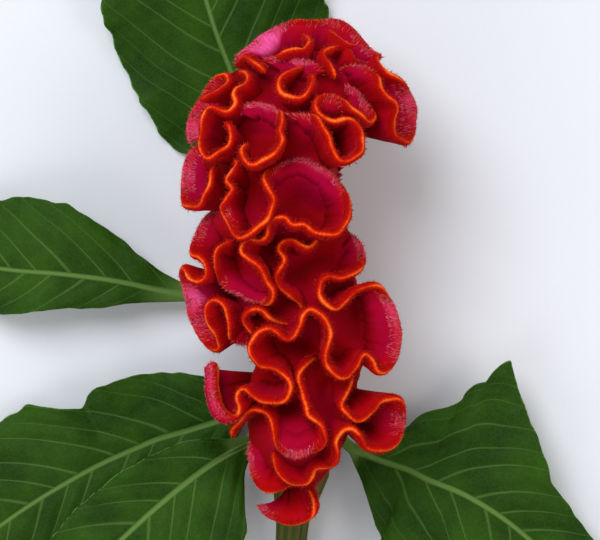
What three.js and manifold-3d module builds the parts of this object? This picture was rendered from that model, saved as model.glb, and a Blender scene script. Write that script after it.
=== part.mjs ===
// Cockscomb flower: one crested bloom with its stem and five leaves, lying on its back.
// Millimetres, +Z up. The stem runs towards -Y along the surface at z = 0, and the ridge of
// the crest faces up. The origin is on the flat underside of the stem, below the head.

import * as THREE from 'three';
import { mergeVertices } from 'three/addons/utils/BufferGeometryUtils.js';
import Module from 'manifold-3d';

const wasm = await Module();
wasm.setup();

// Head
const HEAD_WIDTH = 60;
const CORE_WIDEST_SHARE = 0.35;
const CORE_PLEAT_PITCH = 9.5;
const CORE_PLEAT_DEPTH = 0.07;
const CORE_SLICES = 36;
const CORE_SIDES = 10;

// The fan of tissue under the folds: y, x of its middle, half width, top z and underside z.
const CORE_STATIONS = [
  [-57, -2, 4.5, 24, 15],
  [-50, -2, 9, 29, 10],
  [-40, 0, 12, 34, 7.5],
  [-30, 0.5, 12.5, 37, 7],
  [-21, 3, 12, 38, 7],
  [-10, 0, 14, 38, 7],
  [0, -2, 14, 38, 7],
  [10, -4, 13, 39, 7],
  [20, -4, 13, 39, 7],
  [30, -3, 14, 37, 8],
  [40, 0, 15, 34, 9.5],
  [50, 1, 13, 28, 12],
  [57, 1, 6, 23, 15],
];

// Folded sheet of the crest
const SHEET_HALF_THICKNESS = 1.25;
const RIM_HALF_THICKNESS = 1.45;
const RIM_CROWN = 0.9;
const SHEET_ROWS = [0, 0.7, 1];
const SHEET_FLARE = 1.7;
const SHEET_RISE = 1.35;
const SHEET_STEP = 4.6;
const BEND_WEIGHT = 2.4;
const STEPS_PER_SOLID = 4;
const ROOT_SMOOTHING = 7;
const ROOT_DETAIL = 0.4;
const ROOT_REACH_ALONG = 0.87;
const ROOT_DEPTH = 0.8;
const ROOT_WRAP = 110;
const ROLL_DROP = 3.5;
const ROLL_START = 0.7;
const SMALLEST_HALF_THICKNESS = 0.35;
const BEND_CLEARANCE = 0.6;
const FINE_STEPS = 8;
const ROW_STEP = 0.05;
const STRAIGHT_RADIUS = 1000;

// Tidying of the joined crest
const SHORTEST_EDGE = 0.25;
const FLATTEST_HEIGHT = 0.03;
const LEAST_COSINE = 0.5;
const LEAST_AREA = 1e-7;
const SURE_AREA = 1e-4;
const TIDY_PASSES = 6;
const WELD = 1e-5;

// Stem
const STEM_SIDES = 16;
const STEM_FIT_GAP = 0.35;
const STEM_GROOVE = 0.96;

// Leaves
const LEAF_HALF_THICKNESS = 0.4;
const MIDRIB_HALF_THICKNESS = 1.0;
const STALK_HALF_THICKNESS = 1.3;
const STALK_ROUNDNESS = 0.75;
const STALK_WIDTH = 2.5;
const BLADE_WIDTH = 10;
const LEAF_COLUMNS = [-1, -0.66, -0.3, 0, 0.3, 0.66, 1];
const LEAF_TROUGH = 1.2;
const WAVE_GROWTH = 1.5;
const WAVE_OFFSET = 1.9;

// The growing edge of the crest, as ridges. Each point is x, y, z and how far the edge
// curls over there, from 0, standing up, to 1, curled outwards and down.
const RIDGES = {
  bottomLobe: [
    [-2.5, -54, 27, 0], [0, -53.5, 29, 0], [2, -54.5, 30, 0], [3.2, -57, 31, 0], [3.8, -59.5, 32, 0],
    [2.8, -62, 32, 0], [0.5, -63.2, 32, 0], [-3, -63.8, 31, 0], [-6.5, -63, 30, 0],
    [-9.5, -61.8, 28, 0], [-11, -59.5, 26, 0.5],
  ],
  lowerLeftLobe: [
    [-8, -42, 32, 0], [-10.5, -41.8, 34, 0], [-12, -43.2, 35, 0.6], [-13, -46.2, 36, 1],
    [-12.8, -50, 36, 1], [-11, -53.5, 36, 0.4], [-8.5, -55.2, 37, 0], [-5.8, -55, 37, 0],
    [-3.2, -53.8, 36, 0], [-0.8, -53.2, 35, 0],
  ],
  lowerRightFold: [
    [-6.2, -45.8, 40, 0], [-6, -48, 41, 0], [-5.2, -50.2, 41, 0], [-3.5, -52.2, 41, 0],
    [-0.8, -53.2, 40, 0], [1.8, -53, 40, 0], [2.8, -51.2, 41, 0], [3.8, -49.5, 42, 0],
    [6.2, -49, 42, 0], [8.5, -48.2, 43, 0], [9, -45, 44, 0], [9, -42, 45, 0], [10.2, -40, 45, 0],
    [12.2, -39.5, 45, 0], [14.5, -41, 44, 0], [16.2, -43.8, 42, 0], [18.8, -45, 41, 0],
    [22, -44.5, 40, 0], [24.5, -43.2, 39, 0.3], [26.2, -40.5, 38, 0.8], [26.8, -37.5, 38, 0.9],
    [26.2, -34.5, 39, 0.6], [24.8, -32.8, 40, 0], [22.2, -32.2, 41, 0], [19.8, -32.8, 42, 0],
    [18, -34.8, 43, 0], [15.8, -36.8, 44, 0], [13.8, -37.2, 44, 0], [11.5, -35.8, 44, 0],
    [10.2, -33.8, 44, 0], [10.8, -31.8, 44, 0], [12.2, -29, 43, 0], [12.8, -26.5, 42, 0],
  ],
  middleFold: [
    [-21.5, -23, 38, 0], [-20.8, -26.2, 39, 0], [-20.8, -30.5, 40, 0], [-20.5, -34, 41, 0],
    [-18.8, -36, 42, 0], [-17.2, -36.8, 43, 0], [-15.5, -36.2, 44, 0], [-14.8, -34.5, 45, 0],
    [-15.2, -31.8, 46, 0], [-14.5, -30, 46, 0], [-13.2, -29.5, 47, 0], [-11.5, -31, 47, 0],
    [-8.8, -32.5, 48, 0], [-5.5, -32.5, 49, 0], [-3.2, -31.5, 49, 0], [-2.2, -29.2, 49, 0],
    [-3, -27, 49, 0], [-5, -25, 49, 0], [-7.2, -24, 48, 0], [-9.8, -23.5, 48, 0], [-11.5, -21.5, 48, 0],
    [-12, -19, 48, 0], [-11.2, -16.8, 49, 0], [-9.5, -15.2, 49, 0], [-7.5, -14.5, 50, 0],
    [-5.5, -15.5, 50, 0], [-3.2, -16.8, 50, 0], [-1.2, -16.2, 51, 0], [-0.2, -13.8, 51, 0],
    [0.8, -11.2, 52, 0], [2.5, -9.8, 52, 0], [4.5, -10.8, 52, 0], [6.5, -12.5, 52, 0],
    [7.2, -15.5, 51, 0], [7, -18.2, 51, 0], [6.2, -21.2, 51, 0], [7, -24, 50, 0], [9.2, -26, 50, 0],
    [11.8, -26.2, 49, 0], [13.5, -24.2, 48, 0], [14.8, -21.8, 47, 0], [16, -21, 46, 0],
    [17.5, -22.2, 45, 0], [19, -25, 44, 0], [21.5, -25.2, 43, 0.2], [24, -22.8, 42, 0.8],
    [25.2, -19.2, 42, 1], [25.5, -15.5, 42, 1], [24.5, -11, 42, 1], [22.8, -7, 42, 1],
    [20.5, -4.5, 43, 0.5], [18.2, -3.8, 43, 0], [15, -4.8, 44, 0], [12.5, -6, 45, 0],
    [10.8, -8.2, 46, 0], [8.8, -9.5, 47, 0], [6.2, -8.2, 47, 0], [4.8, -5.8, 47, 0], [5.2, -3, 47, 0],
    [7.2, -1.8, 46, 0], [10.5, -1.8, 45, 0], [13.2, -0.8, 44, 0], [15.5, 1, 43, 0.3],
    [16.5, 3.5, 42, 0.9], [15.5, 6.2, 41, 1], [13.2, 8.5, 41, 1], [10.8, 9.2, 40, 0.8],
  ],
  tongue: [
    [-16.8, -41.8, 36, 0], [-16.5, -39.8, 38, 0], [-15, -38, 40, 0], [-13, -35.8, 41, 0],
    [-10.8, -34.8, 42, 0], [-8.5, -35.2, 43, 0], [-7, -37.5, 44, 0], [-6.2, -41.2, 46, 0],
    [-5, -45, 48, 0.5], [-3, -46.5, 49, 0.8], [-0.5, -47, 50, 0.8], [2.5, -45.8, 50, 0.7],
    [5, -44, 49, 0.2], [6.2, -41.8, 48, 0], [5.5, -39.2, 47, 0], [3.5, -37, 47, 0], [2, -35.5, 47, 0],
    [1.5, -33.2, 47, 0], [0.5, -30.2, 47, 0], [-0.2, -27.2, 47, 0], [0.2, -24.5, 46, 0],
    [2, -22.8, 45, 0], [4, -22.2, 43, 0],
  ],
  centreFold: [
    [4.2, 8.5, 42, 0], [3.5, 6.5, 44, 0], [2, 5.2, 45, 0], [0, 6, 46, 0], [-2, 7.2, 46, 0],
    [-4, 6.8, 46, 0], [-5, 5, 46, 0], [-4, 2.5, 46, 0], [-4.8, 0.2, 46, 0], [-5.8, -2, 46, 0],
    [-4.8, -4.2, 46, 0], [-2.5, -6, 45, 0], [-0.2, -7.5, 44, 0], [0.2, -10, 42, 0],
  ],
  smallCurl: [
    [-2.5, -13.2, 42, 0], [-5.8, -13.2, 43, 0], [-7.5, -12, 44, 0], [-9.2, -10.2, 44, 0],
    [-11.2, -9.8, 44, 0], [-13, -10.8, 43, 0], [-13.8, -12.5, 42, 0], [-12.8, -14.5, 42, 0],
    [-10.8, -16, 41, 0],
  ],
  longFold: [
    [-16.2, 27.5, 44, 0], [-15.2, 26, 46, 0], [-16.8, 24, 47, 0], [-17.8, 22, 48, 0],
    [-16.5, 20, 49, 0], [-18, 17.5, 50, 0], [-19.2, 15.5, 51, 0.4], [-18.5, 13.2, 52, 0.5],
    [-17, 10.5, 53, 0.4], [-14.8, 8, 54, 0], [-12, 9.2, 54, 0], [-9.2, 11.5, 54, 0],
    [-7.2, 14.2, 54, 0], [-6.5, 17, 54, 0], [-7.5, 19.5, 54, 0], [-8.8, 22.5, 53, 0],
    [-8, 24.2, 52, 0.3], [-5.5, 26.2, 50, 0.8], [-2.5, 27.5, 49, 1], [0.8, 27.8, 48, 1],
    [4.5, 26.2, 48, 1], [8, 24, 48, 1], [10.5, 21, 49, 0.8], [11.8, 17.5, 50, 0.3], [11.8, 14, 52, 0],
    [10.8, 11, 53, 0], [8.8, 9.2, 54, 0], [5.5, 8.8, 54, 0], [3.2, 9.5, 54, 0], [0.8, 11.2, 54, 0],
    [-2.2, 11.2, 54, 0], [-4, 12.8, 53, 0], [-6, 12.8, 53, 0], [-7.5, 11, 52, 0], [-8.2, 8.5, 51, 0],
    [-9.8, 7.2, 50, 0], [-12.2, 7.5, 50, 0], [-13.8, 6, 50, 0], [-14.2, 4.2, 50, 0],
    [-12.8, 2.8, 50, 0], [-10.5, 1.5, 50, 0], [-9.2, -0.5, 50, 0], [-8, -3.2, 49, 0],
    [-6.5, -5.5, 49, 0], [-6.8, -7.5, 48, 0.2], [-9.2, -8.5, 46, 0.8], [-12.5, -7.8, 44, 1],
    [-16, -6.2, 43, 1], [-19, -4.5, 42, 0.8], [-20.2, -1.2, 42, 0.2], [-20.8, 2, 43, 0],
    [-20.2, 5, 44, 0], [-18.2, 6.2, 44, 0], [-16.2, 7.5, 43, 0],
  ],
  leftFold: [
    [-20.5, 15, 36, 1], [-23.8, 13.2, 37, 1], [-26, 10.2, 37, 1], [-27, 6.8, 38, 0.8],
    [-26.8, 4.2, 40, 0], [-24.8, 3.2, 41, 0], [-23.2, 1.2, 41, 0], [-23.2, -1.5, 41, 0],
    [-25, -3, 40, 0], [-27.2, -1.8, 39, 0], [-29, 0.5, 37, 0], [-30, -0.8, 36, 0.6],
    [-29.2, -3.8, 35, 1], [-28.8, -6.8, 34, 1], [-28.2, -8.8, 34, 1], [-28.5, -10.8, 34, 1],
    [-27, -14.5, 34, 1], [-24.5, -18, 35, 0.8], [-21.8, -19.8, 36, 0.2], [-19.8, -19.5, 37, 0],
    [-20.2, -17, 38, 0], [-22, -14.2, 39, 0], [-23, -11.5, 40, 0], [-22.5, -8.5, 40, 0],
    [-20.8, -7.5, 40, 0], [-18.8, -9, 41, 0], [-17.5, -11.8, 41, 0], [-17.2, -15, 41, 0],
    [-16.8, -17.5, 40, 0.5], [-14.2, -18.5, 39, 0.8], [-12, -18, 38, 0.5],
  ],
  upperLeftLobe: [
    [-20.2, 26.2, 42, 0], [-21.8, 24.2, 43, 0], [-22.2, 21.5, 43, 0], [-23.5, 18.2, 42, 0],
    [-24.8, 16.2, 41, 0], [-27.5, 16, 39, 0], [-29, 16.5, 37, 0.3], [-29.8, 18.8, 35, 0.9],
    [-30, 22.5, 33, 1], [-29, 26.8, 33, 1], [-27.2, 29.8, 34, 1],
  ],
  upperLeftCurl: [
    [-15.5, 49.8, 36, 0], [-13.2, 49, 38, 0], [-12.5, 47.5, 40, 0], [-13.5, 46.2, 41, 0],
    [-15.5, 45.2, 42, 0], [-16.2, 43.5, 43, 0], [-15.8, 41.5, 44, 0], [-17.5, 39.5, 45, 0],
    [-20, 39.8, 45, 0], [-22.5, 40.2, 44, 0], [-23.8, 38.2, 44, 0], [-24, 35, 44, 0],
    [-24.5, 32.2, 44, 0], [-24.2, 29.5, 45, 0], [-22.8, 28, 46, 0], [-20, 29, 47, 0],
    [-17.5, 30.8, 47, 0], [-16.8, 33, 47, 0], [-17.2, 35.2, 46, 0], [-18.5, 36.8, 44, 0],
  ],
  outerLeftLobe: [
    [-25, 42.5, 38, 0], [-22.2, 44, 39, 0], [-19.2, 45.5, 39, 0], [-17.5, 47, 38, 0],
    [-18.2, 48.8, 37, 0.3], [-20.8, 48.8, 35, 0.6], [-23.5, 46, 34, 0.8], [-25.8, 42.4, 34, 0.9],
    [-27.5, 39.5, 34, 1], [-28.2, 35, 34, 1], [-27.5, 31.2, 35, 1],
  ],
  upperCup: [
    [-15, 39.2, 45, 0.8], [-13, 40.8, 45, 1], [-9.5, 41.5, 45, 1], [-6.2, 40.8, 46, 1],
    [-4, 39, 47, 0.7], [-4.6, 36.5, 50, 0], [-4.8, 34.5, 52, 0], [-4.5, 31.8, 54, 0],
    [-5.8, 29.2, 55, 0], [-8.5, 27.2, 56, 0], [-11.5, 26, 56, 0], [-13.5, 26.8, 55, 0],
    [-14.2, 29, 53, 0], [-13, 31, 50, 0],
  ],
  upperRightFold: [
    [-3.2, 38.8, 48, 0.8], [0, 38.2, 50, 0.8], [3, 38, 51, 0.4], [4.8, 36.5, 52, 0], [6.5, 33.5, 53, 0],
    [7.8, 30, 54, 0], [9.5, 27.2, 54, 0], [12, 27, 54, 0], [14.5, 29, 53, 0], [15.2, 31.8, 51, 0],
    [14.5, 34.8, 50, 0], [12.5, 37, 49, 0], [10.2, 37.2, 49, 0], [8, 36.8, 49, 0], [5.8, 37.5, 49, 0],
    [4.2, 39.8, 48, 0], [3.8, 41.5, 48, 0], [5, 43, 48, 0], [7.5, 43.5, 48, 0], [10, 42.2, 48, 0],
    [13, 39.8, 47, 0], [15.5, 37.8, 46, 0], [17.2, 36.8, 44, 0], [18.5, 38.2, 43, 0.4],
    [17.8, 40.5, 42, 1], [15.5, 43.5, 41, 1], [13, 45.8, 40, 1], [10.5, 46.5, 39, 1],
  ],
  roundCup: [
    [1, 50.5, 40, 0], [-1.8, 49.8, 41, 0], [-4, 48.5, 42, 0], [-5.2, 46.2, 44, 0], [-4.5, 44, 45, 0],
    [-2.5, 42.8, 46, 0], [0.2, 42.8, 46, 0], [2.2, 44.2, 45, 0], [3, 46.5, 44, 0], [2.8, 49, 42, 0],
  ],
  topLeftFold: [
    [-16.5, 51.5, 32, 0.3], [-13.5, 53.6, 34, 0], [-11, 51.8, 37, 0], [-8.5, 49.5, 39, 0],
  ],
  topMiddleFold: [
    [-5.8, 53.2, 38, 0], [-3.2, 54.8, 38, 0], [-0.5, 55.2, 38, 0], [1.2, 55, 37, 0], [2.2, 56.4, 36, 0],
    [2, 58, 34, 0], [1, 59.2, 32, 0],
  ],
  topRightFold: [
    [7.2, 60.5, 30, 0], [9, 58.5, 32, 0], [11.2, 57, 33, 0], [13.8, 56.5, 33, 0],
  ],
  topSmallCurl: [
    [9.5, 56, 35, 0], [6.8, 55.5, 36, 0], [5.5, 53.8, 37, 0], [6.8, 52, 38, 0], [8, 50.2, 39, 0],
    [8.4, 48, 39, 0],
  ],
  rightTopLobe: [
    [19.4, 47.8, 43, 0], [20, 45.2, 43, 0], [21.2, 43.5, 43, 0], [23.2, 42, 43, 0], [23.8, 40, 42, 0],
    [23, 37.5, 41, 0], [23, 35, 40, 0], [24.5, 33.2, 38, 0], [27, 32.2, 35, 0.3], [28.5, 33.8, 33, 0.8],
    [29.2, 37, 32, 1], [29.8, 40.8, 32, 1], [28.8, 43.8, 33, 1], [27, 46.8, 34, 0.8],
    [23.8, 48.6, 36, 0.2], [21, 50, 36, 0], [19.2, 52, 35, 0], [19, 54.5, 33, 0],
  ],
  topCap: [
    [-16.5, 52, 30, 1], [-16, 54.2, 29, 1], [-12.5, 56.5, 29, 1], [-10.5, 59.2, 28, 1],
    [-7.5, 61.2, 28, 1], [-3.8, 63, 27, 1], [0, 63.2, 27, 1], [3.8, 62.8, 27, 1], [6.2, 64, 26, 1],
    [10.5, 63.5, 26, 1], [13.8, 61, 26, 1], [16.5, 57, 27, 1], [18, 55.2, 28, 1], [21.5, 53.5, 30, 1],
  ],
};

// Stem stations: x, y, z of the middle, half width and half height.
const STEM_STATIONS = [
  [-4.6, -128, 2.9, 3.1, 3.1],
  [-4.2, -112, 3.0, 3.2, 3.2],
  [-3.7, -96, 3.1, 3.3, 3.3],
  [-3, -80, 3.3, 3.6, 3.5],
  [-2, -66, 3.9, 4.3, 4.1],
  [0, -54, 4.7, 7.4, 5.8],
  [0, -42, 4.7, 8.8, 6.1],
  [0, -28, 4.8, 9.4, 6.2],
  [0, -14, 4.8, 9.4, 6.2],
  [0, -4, 4.8, 8.8, 6.2],
  [0, 10, 4.8, 7.6, 6.1],
  [0, 18, 5.2, 5.4, 4.9],
];

// Leaf stations, from the stalk's seat on the stem to the tip: x, y, z of the midrib, and the
// half widths on its left and right as seen from the stem.
const LEAVES = {
  leaf_upper_left: {
    waves: 5.5,
    swell: 1.6,
    phase: 0.4,
    stations: [
      [-9.9, 2, 4.2, 1.4, 1.4], [-11.2, 7, 3.8, 1.5, 1.5], [-11.4, 13, 2.8, 1.6, 1.6],
      [-11, 19, 2.2, 2, 2.2], [-10.8, 26, 1.8, 6, 8], [-11.8, 33, 1.6, 15.5, 19], [-14, 40, 1.6, 22, 26],
      [-18.2, 52, 2, 24.8, 29], [-22, 62, 3.5, 25.8, 30], [-26, 75, 5.5, 27.2, 27],
      [-31, 90, 5, 21, 19], [-37, 104, 2.2, 10, 9], [-43, 115, 0.4, 0.6, 0.6],
    ],
  },
  leaf_left: {
    waves: 4.5,
    swell: 1.4,
    phase: 2.2,
    stations: [
      [-9.6, -11, 4.4, 1.4, 1.4], [-18, -9, 5, 1.5, 1.5], [-29, -6.5, 6.5, 1.8, 2.2],
      [-37.5, -5, 8, 3.5, 5], [-44, -3.6, 9.5, 5.3, 8.2], [-50, -2.5, 10.5, 7.5, 12],
      [-62.5, -1, 10.5, 9.2, 18.4], [-75, 0, 9, 11.8, 19.5], [-88, 2, 6, 10, 15], [-100, 5, 2.5, 6, 8],
      [-110, 8, 0.4, 0.6, 0.6],
    ],
  },
  leaf_lower_left_outer: {
    waves: 4.5,
    swell: 1.8,
    phase: 1.0,
    stations: [
      [-9.7, -33, 4.2, 1.4, 1.4], [-14, -36, 4.4, 1.6, 1.6], [-20, -38.8, 4.8, 7, 12],
      [-28.5, -41.6, 5.5, 11, 15.6], [-37, -44, 6.2, 13, 17.5], [-44, -46.9, 6.5, 14, 18.6],
      [-48.3, -48.8, 6.6, 14.2, 17.6], [-50.5, -49.8, 6.7, 14.5, 15], [-54.5, -51.8, 6.8, 15, 17.8],
      [-60, -54.9, 6.6, 15.5, 23], [-70, -61, 6, 16, 22], [-82, -69.5, 4.5, 13, 17],
      [-94, -79.5, 2, 7, 9], [-103, -88, 0.4, 0.6, 0.6],
    ],
  },
  leaf_lower_left_inner: {
    waves: 5,
    swell: 1.6,
    phase: 3.0,
    stations: [
      [-9.4, -43, 5.4, 1.4, 1.4], [-12.5, -44.6, 7.5, 1.5, 1.5], [-17.5, -47, 11.5, 6.5, 3.5],
      [-25, -51.6, 15, 20, 9], [-37.5, -61.6, 16.5, 24, 13], [-50, -73.4, 14.5, 21, 14],
      [-62, -86, 9, 15, 11], [-72, -98, 3.5, 7.5, 6], [-78, -106, 0.4, 0.6, 0.6],
    ],
  },
  leaf_lower_right: {
    waves: 4.5,
    swell: 1.6,
    phase: 1.6,
    stations: [
      [9.6, -43, 4.6, 1.4, 1.4], [14, -46.8, 5.2, 1.5, 1.5], [19.5, -49.2, 6.2, 4.5, 8],
      [24.8, -51, 7.3, 11.2, 17], [28.5, -52.2, 8.3, 17.2, 21], [33, -54.4, 9.4, 24.2, 23],
      [37.6, -56.2, 10.4, 29.6, 24], [40.2, -57.2, 10.6, 37.2, 24], [43, -58.5, 10.6, 30, 24],
      [49.8, -62.5, 10.2, 22, 23], [56, -67, 9.3, 15, 20], [63.5, -73.6, 7.6, 12.6, 16],
      [72, -82, 5, 10.5, 10.5], [80, -91, 2.3, 5.5, 5.5], [86.5, -99, 0.4, 0.6, 0.6],
    ],
  },
};

// Materials

function crestMaterial() {
  return new THREE.MeshStandardMaterial({ color: 0xb4102a, roughness: 0.85, metalness: 0 });
}

function stemMaterial() {
  return new THREE.MeshStandardMaterial({ color: 0x6f8f3c, roughness: 0.6, metalness: 0 });
}

function leafMaterial() {
  return new THREE.MeshStandardMaterial({ color: 0x2f5a22, roughness: 0.6, metalness: 0 });
}

// Shared geometry helpers

function closedGeometry(points, triangles) {
  const geometry = new THREE.BufferGeometry();
  const flat = points.flatMap((p) => [p.x, p.y, p.z]);
  geometry.setAttribute('position', new THREE.Float32BufferAttribute(flat, 3));
  geometry.setIndex(triangles.flat());
  return geometry;
}

// A closed skin over equal rings of points, with a flat fan over the first and last ring.
function ringSkin(rings) {
  const sides = rings[0].length;
  const points = rings.flat();
  const triangles = [];
  for (let r = 0; r + 1 < rings.length; r++) {
    for (let k = 0; k < sides; k++) {
      const a = r * sides + k;
      const b = r * sides + (k + 1) % sides;
      triangles.push([a, b, b + sides], [a, b + sides, a + sides]);
    }
  }
  const last = (rings.length - 1) * sides;
  for (let k = 1; k + 1 < sides; k++) {
    triangles.push([0, k + 1, k], [last, last + k, last + k + 1]);
  }
  return closedGeometry(points, triangles);
}

function toSolid(geometry) {
  const merged = mergeVertices(geometry, WELD);
  const mesh = new wasm.Mesh({
    numProp: 3,
    vertProperties: new Float32Array(merged.attributes.position.array),
    triVerts: new Uint32Array(merged.index.array),
  });
  return new wasm.Manifold(mesh);
}

function toGeometry(solid) {
  const mesh = solid.getMesh();
  const geometry = new THREE.BufferGeometry();
  geometry.setAttribute('position', new THREE.BufferAttribute(new Float32Array(mesh.vertProperties), 3));
  geometry.setIndex(new THREE.BufferAttribute(new Uint32Array(mesh.triVerts), 1));
  return geometry;
}

// A triangle mesh that can lose its shortest edges and its flattest triangles, which the joins
// leave where two sheets nearly meet.
class Tidier {
  constructor(geometry) {
    const position = geometry.attributes.position;
    const index = geometry.index.array;
    this.points = [];
    for (let i = 0; i < position.count; i++) {
      this.points.push(new THREE.Vector3().fromBufferAttribute(position, i));
    }
    this.faces = [];
    this.around = this.points.map(() => new Set());
    for (let i = 0; i < index.length; i += 3) {
      this.addFace([index[i], index[i + 1], index[i + 2]]);
    }
  }

  addFace(face) {
    this.faces.push(face);
    face.forEach((v) => this.around[v].add(face));
  }

  dropFace(face) {
    face.gone = true;
    face.forEach((v) => this.around[v].delete(face));
  }

  neighbours(v) {
    return new Set([...this.around[v]].flat().filter((other) => other !== v));
  }

  normal([a, b, c], moved = -1, place = null) {
    const [pa, pb, pc] = [a, b, c].map((v) => (v === moved ? place : this.points[v]));
    return pb.clone().sub(pa).cross(pc.clone().sub(pa));
  }

  height(face) {
    const sides = [0, 1, 2].map((k) => this.points[face[k]].distanceTo(this.points[face[(k + 1) % 3]]));
    return this.normal(face).length() / Math.max(...sides);
  }

  // How far the faces round a vertex would turn if it moved: the least cosine.
  leastTurn(v, without, place) {
    let least = 1;
    for (const face of this.around[v]) {
      if (face.includes(without)) continue;
      const before = this.normal(face);
      const after = this.normal(face, v, place);
      if (after.length() < LEAST_AREA) return -1;
      if (before.length() > SURE_AREA) {
        least = Math.min(least, before.normalize().dot(after.normalize()));
      }
    }
    return least;
  }

  // Joins the two ends of an edge, where that turns no face over.
  join(a, b) {
    const nearB = this.neighbours(b);
    const shared = [...this.neighbours(a)].filter((v) => nearB.has(v));
    const onEdge = [...this.around[a]].filter((face) => face.includes(b));
    if (shared.length !== 2 || onEdge.length !== 2) return false;
    const turn = (place) => Math.min(this.leastTurn(a, b, place), this.leastTurn(b, a, place));
    const middle = this.points[a].clone().lerp(this.points[b], 0.5);
    const places = [this.points[a], this.points[b], middle];
    const best = places.sort((p, q) => turn(q) - turn(p))[0].clone();
    if (turn(best) < LEAST_COSINE) return false;
    onEdge.forEach((face) => this.dropFace(face));
    for (const face of [...this.around[b]]) {
      this.dropFace(face);
      this.addFace(face.map((v) => (v === b ? a : v)));
    }
    this.points[a].copy(best);
    return true;
  }

  // Turns the longest edge of a flat triangle, so that it runs across its neighbour instead.
  turnEdge(face) {
    const length = (k) => this.points[face[k]].distanceTo(this.points[face[(k + 1) % 3]]);
    const k = [0, 1, 2].sort((m, n) => length(n) - length(m))[0];
    const [a, b, c] = [face[k], face[(k + 1) % 3], face[(k + 2) % 3]];
    const other = [...this.around[a]].find((f) => f !== face && f.includes(b));
    const d = other.find((v) => v !== a && v !== b);
    if (this.neighbours(c).has(d)) return false;
    const flat = this.normal(other).normalize();
    const turned = [[a, d, c], [d, b, c]];
    if (turned.some((f) => this.normal(f).normalize().dot(flat) < LEAST_COSINE)) return false;
    if (Math.min(...turned.map((f) => this.height(f))) < 2 * this.height(face)) return false;
    this.dropFace(face);
    this.dropFace(other);
    turned.forEach((f) => this.addFace(f));
    return true;
  }

  run() {
    for (let pass = 0; pass < TIDY_PASSES; pass++) {
      let changes = 0;
      for (const face of [...this.faces]) {
        for (let k = 0; k < 3 && !face.gone; k++) {
          const [a, b] = [face[k], face[(k + 1) % 3]];
          if (this.points[a].distanceTo(this.points[b]) < SHORTEST_EDGE && this.join(a, b)) changes++;
        }
        if (!face.gone && this.height(face) < FLATTEST_HEIGHT && this.turnEdge(face)) changes++;
      }
      this.faces = this.faces.filter((face) => !face.gone);
      if (changes === 0) break;
    }
    return closedGeometry(this.points, this.faces);
  }
}

function between(list, place, column) {
  const i = Math.min(Math.floor(place), list.length - 2);
  return THREE.MathUtils.lerp(list[i][column], list[i + 1][column], place - i);
}

// Crest

// Fine points along a ridge, with their distance along it and the curl of the edge.
function fineRidge(points) {
  const curve = new THREE.CatmullRomCurve3(
    points.map(([x, y, z]) => new THREE.Vector3(x, y, z)), false, 'centripetal');
  const count = (points.length - 1) * FINE_STEPS;
  const fine = [];
  let along = 0;
  for (let i = 0; i <= count; i++) {
    const rim = curve.getPoint(i / count);
    if (i > 0) along += rim.distanceTo(fine[i - 1].rim);
    fine.push({ rim, along, curl: between(points, i / FINE_STEPS, 3) });
  }
  return fine;
}

// Samples that lie closer together where the ridge bends.
function ridgeSamples(points) {
  const fine = fineRidge(points);
  const reach = [0];
  for (let i = 1; i < fine.length; i++) {
    const before = fine[Math.max(i - 2, 0)].rim;
    const here = fine[i - 1].rim;
    const next = fine[i].rim;
    const turn = i > 1 ? here.clone().sub(before).angleTo(next.clone().sub(here)) : 0;
    reach.push(reach[i - 1] + here.distanceTo(next) + BEND_WEIGHT * turn);
  }
  const total = reach[reach.length - 1];
  const steps = Math.max(3, Math.round(total / SHEET_STEP));
  const samples = [];
  for (let s = 0, i = 0; s <= steps; s++) {
    while (i + 1 < fine.length && reach[i] < (s / steps) * total - 1e-9) i++;
    samples.push({ ...fine[i], root: rootPoint(fine, i) });
  }
  return samples;
}

// Where the sheet leaves the core: the ridge without its small folds, drawn in to the core.
function rootPoint(fine, index) {
  const middle = new THREE.Vector2();
  let weights = 0;
  for (const other of fine) {
    const distance = (other.along - fine[index].along) / ROOT_SMOOTHING;
    const weight = Math.exp(-0.5 * distance * distance);
    middle.x += other.rim.x * weight;
    middle.y += other.rim.y * weight;
    weights += weight;
  }
  middle.divideScalar(weights);
  const rim = new THREE.Vector2(fine[index].rim.x, fine[index].rim.y);
  middle.lerp(rim, ROOT_DETAIL);
  const y = middle.y * ROOT_REACH_ALONG;
  const core = coreAt(y);
  const across = THREE.MathUtils.clamp((middle.x - core.x) / (HEAD_WIDTH / 2), -1, 1);
  const angle = THREE.MathUtils.degToRad(across * ROOT_WRAP);
  const height = Math.cos(angle) > 0 ? core.top - core.middle : core.middle - core.underside;
  const x = core.x + ROOT_DEPTH * core.halfWidth * Math.sin(angle);
  const z = core.middle + ROOT_DEPTH * height * Math.cos(angle);
  return new THREE.Vector3(x, y, z);
}

// A point of the sheet, from its root at row 0 to its rim at row 1.
function sheetPoint(sample, row) {
  const flare = row ** SHEET_FLARE;
  const rise = 1 - (1 - row) ** SHEET_RISE;
  const roll = sample.curl * THREE.MathUtils.smoothstep(row, ROLL_START, 1) * ROLL_DROP;
  return new THREE.Vector3(
    THREE.MathUtils.lerp(sample.root.x, sample.rim.x, flare),
    THREE.MathUtils.lerp(sample.root.y, sample.rim.y, flare),
    THREE.MathUtils.lerp(sample.root.z, sample.rim.z, rise) - roll);
}

// Radius of the bend through three points.
function bendRadius(a, b, c) {
  const ab = b.clone().sub(a);
  const bc = c.clone().sub(b);
  const chord = (ab.length() + bc.length()) / 2;
  return Math.min(STRAIGHT_RADIUS, chord / Math.max(ab.angleTo(bc), WELD));
}

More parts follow.
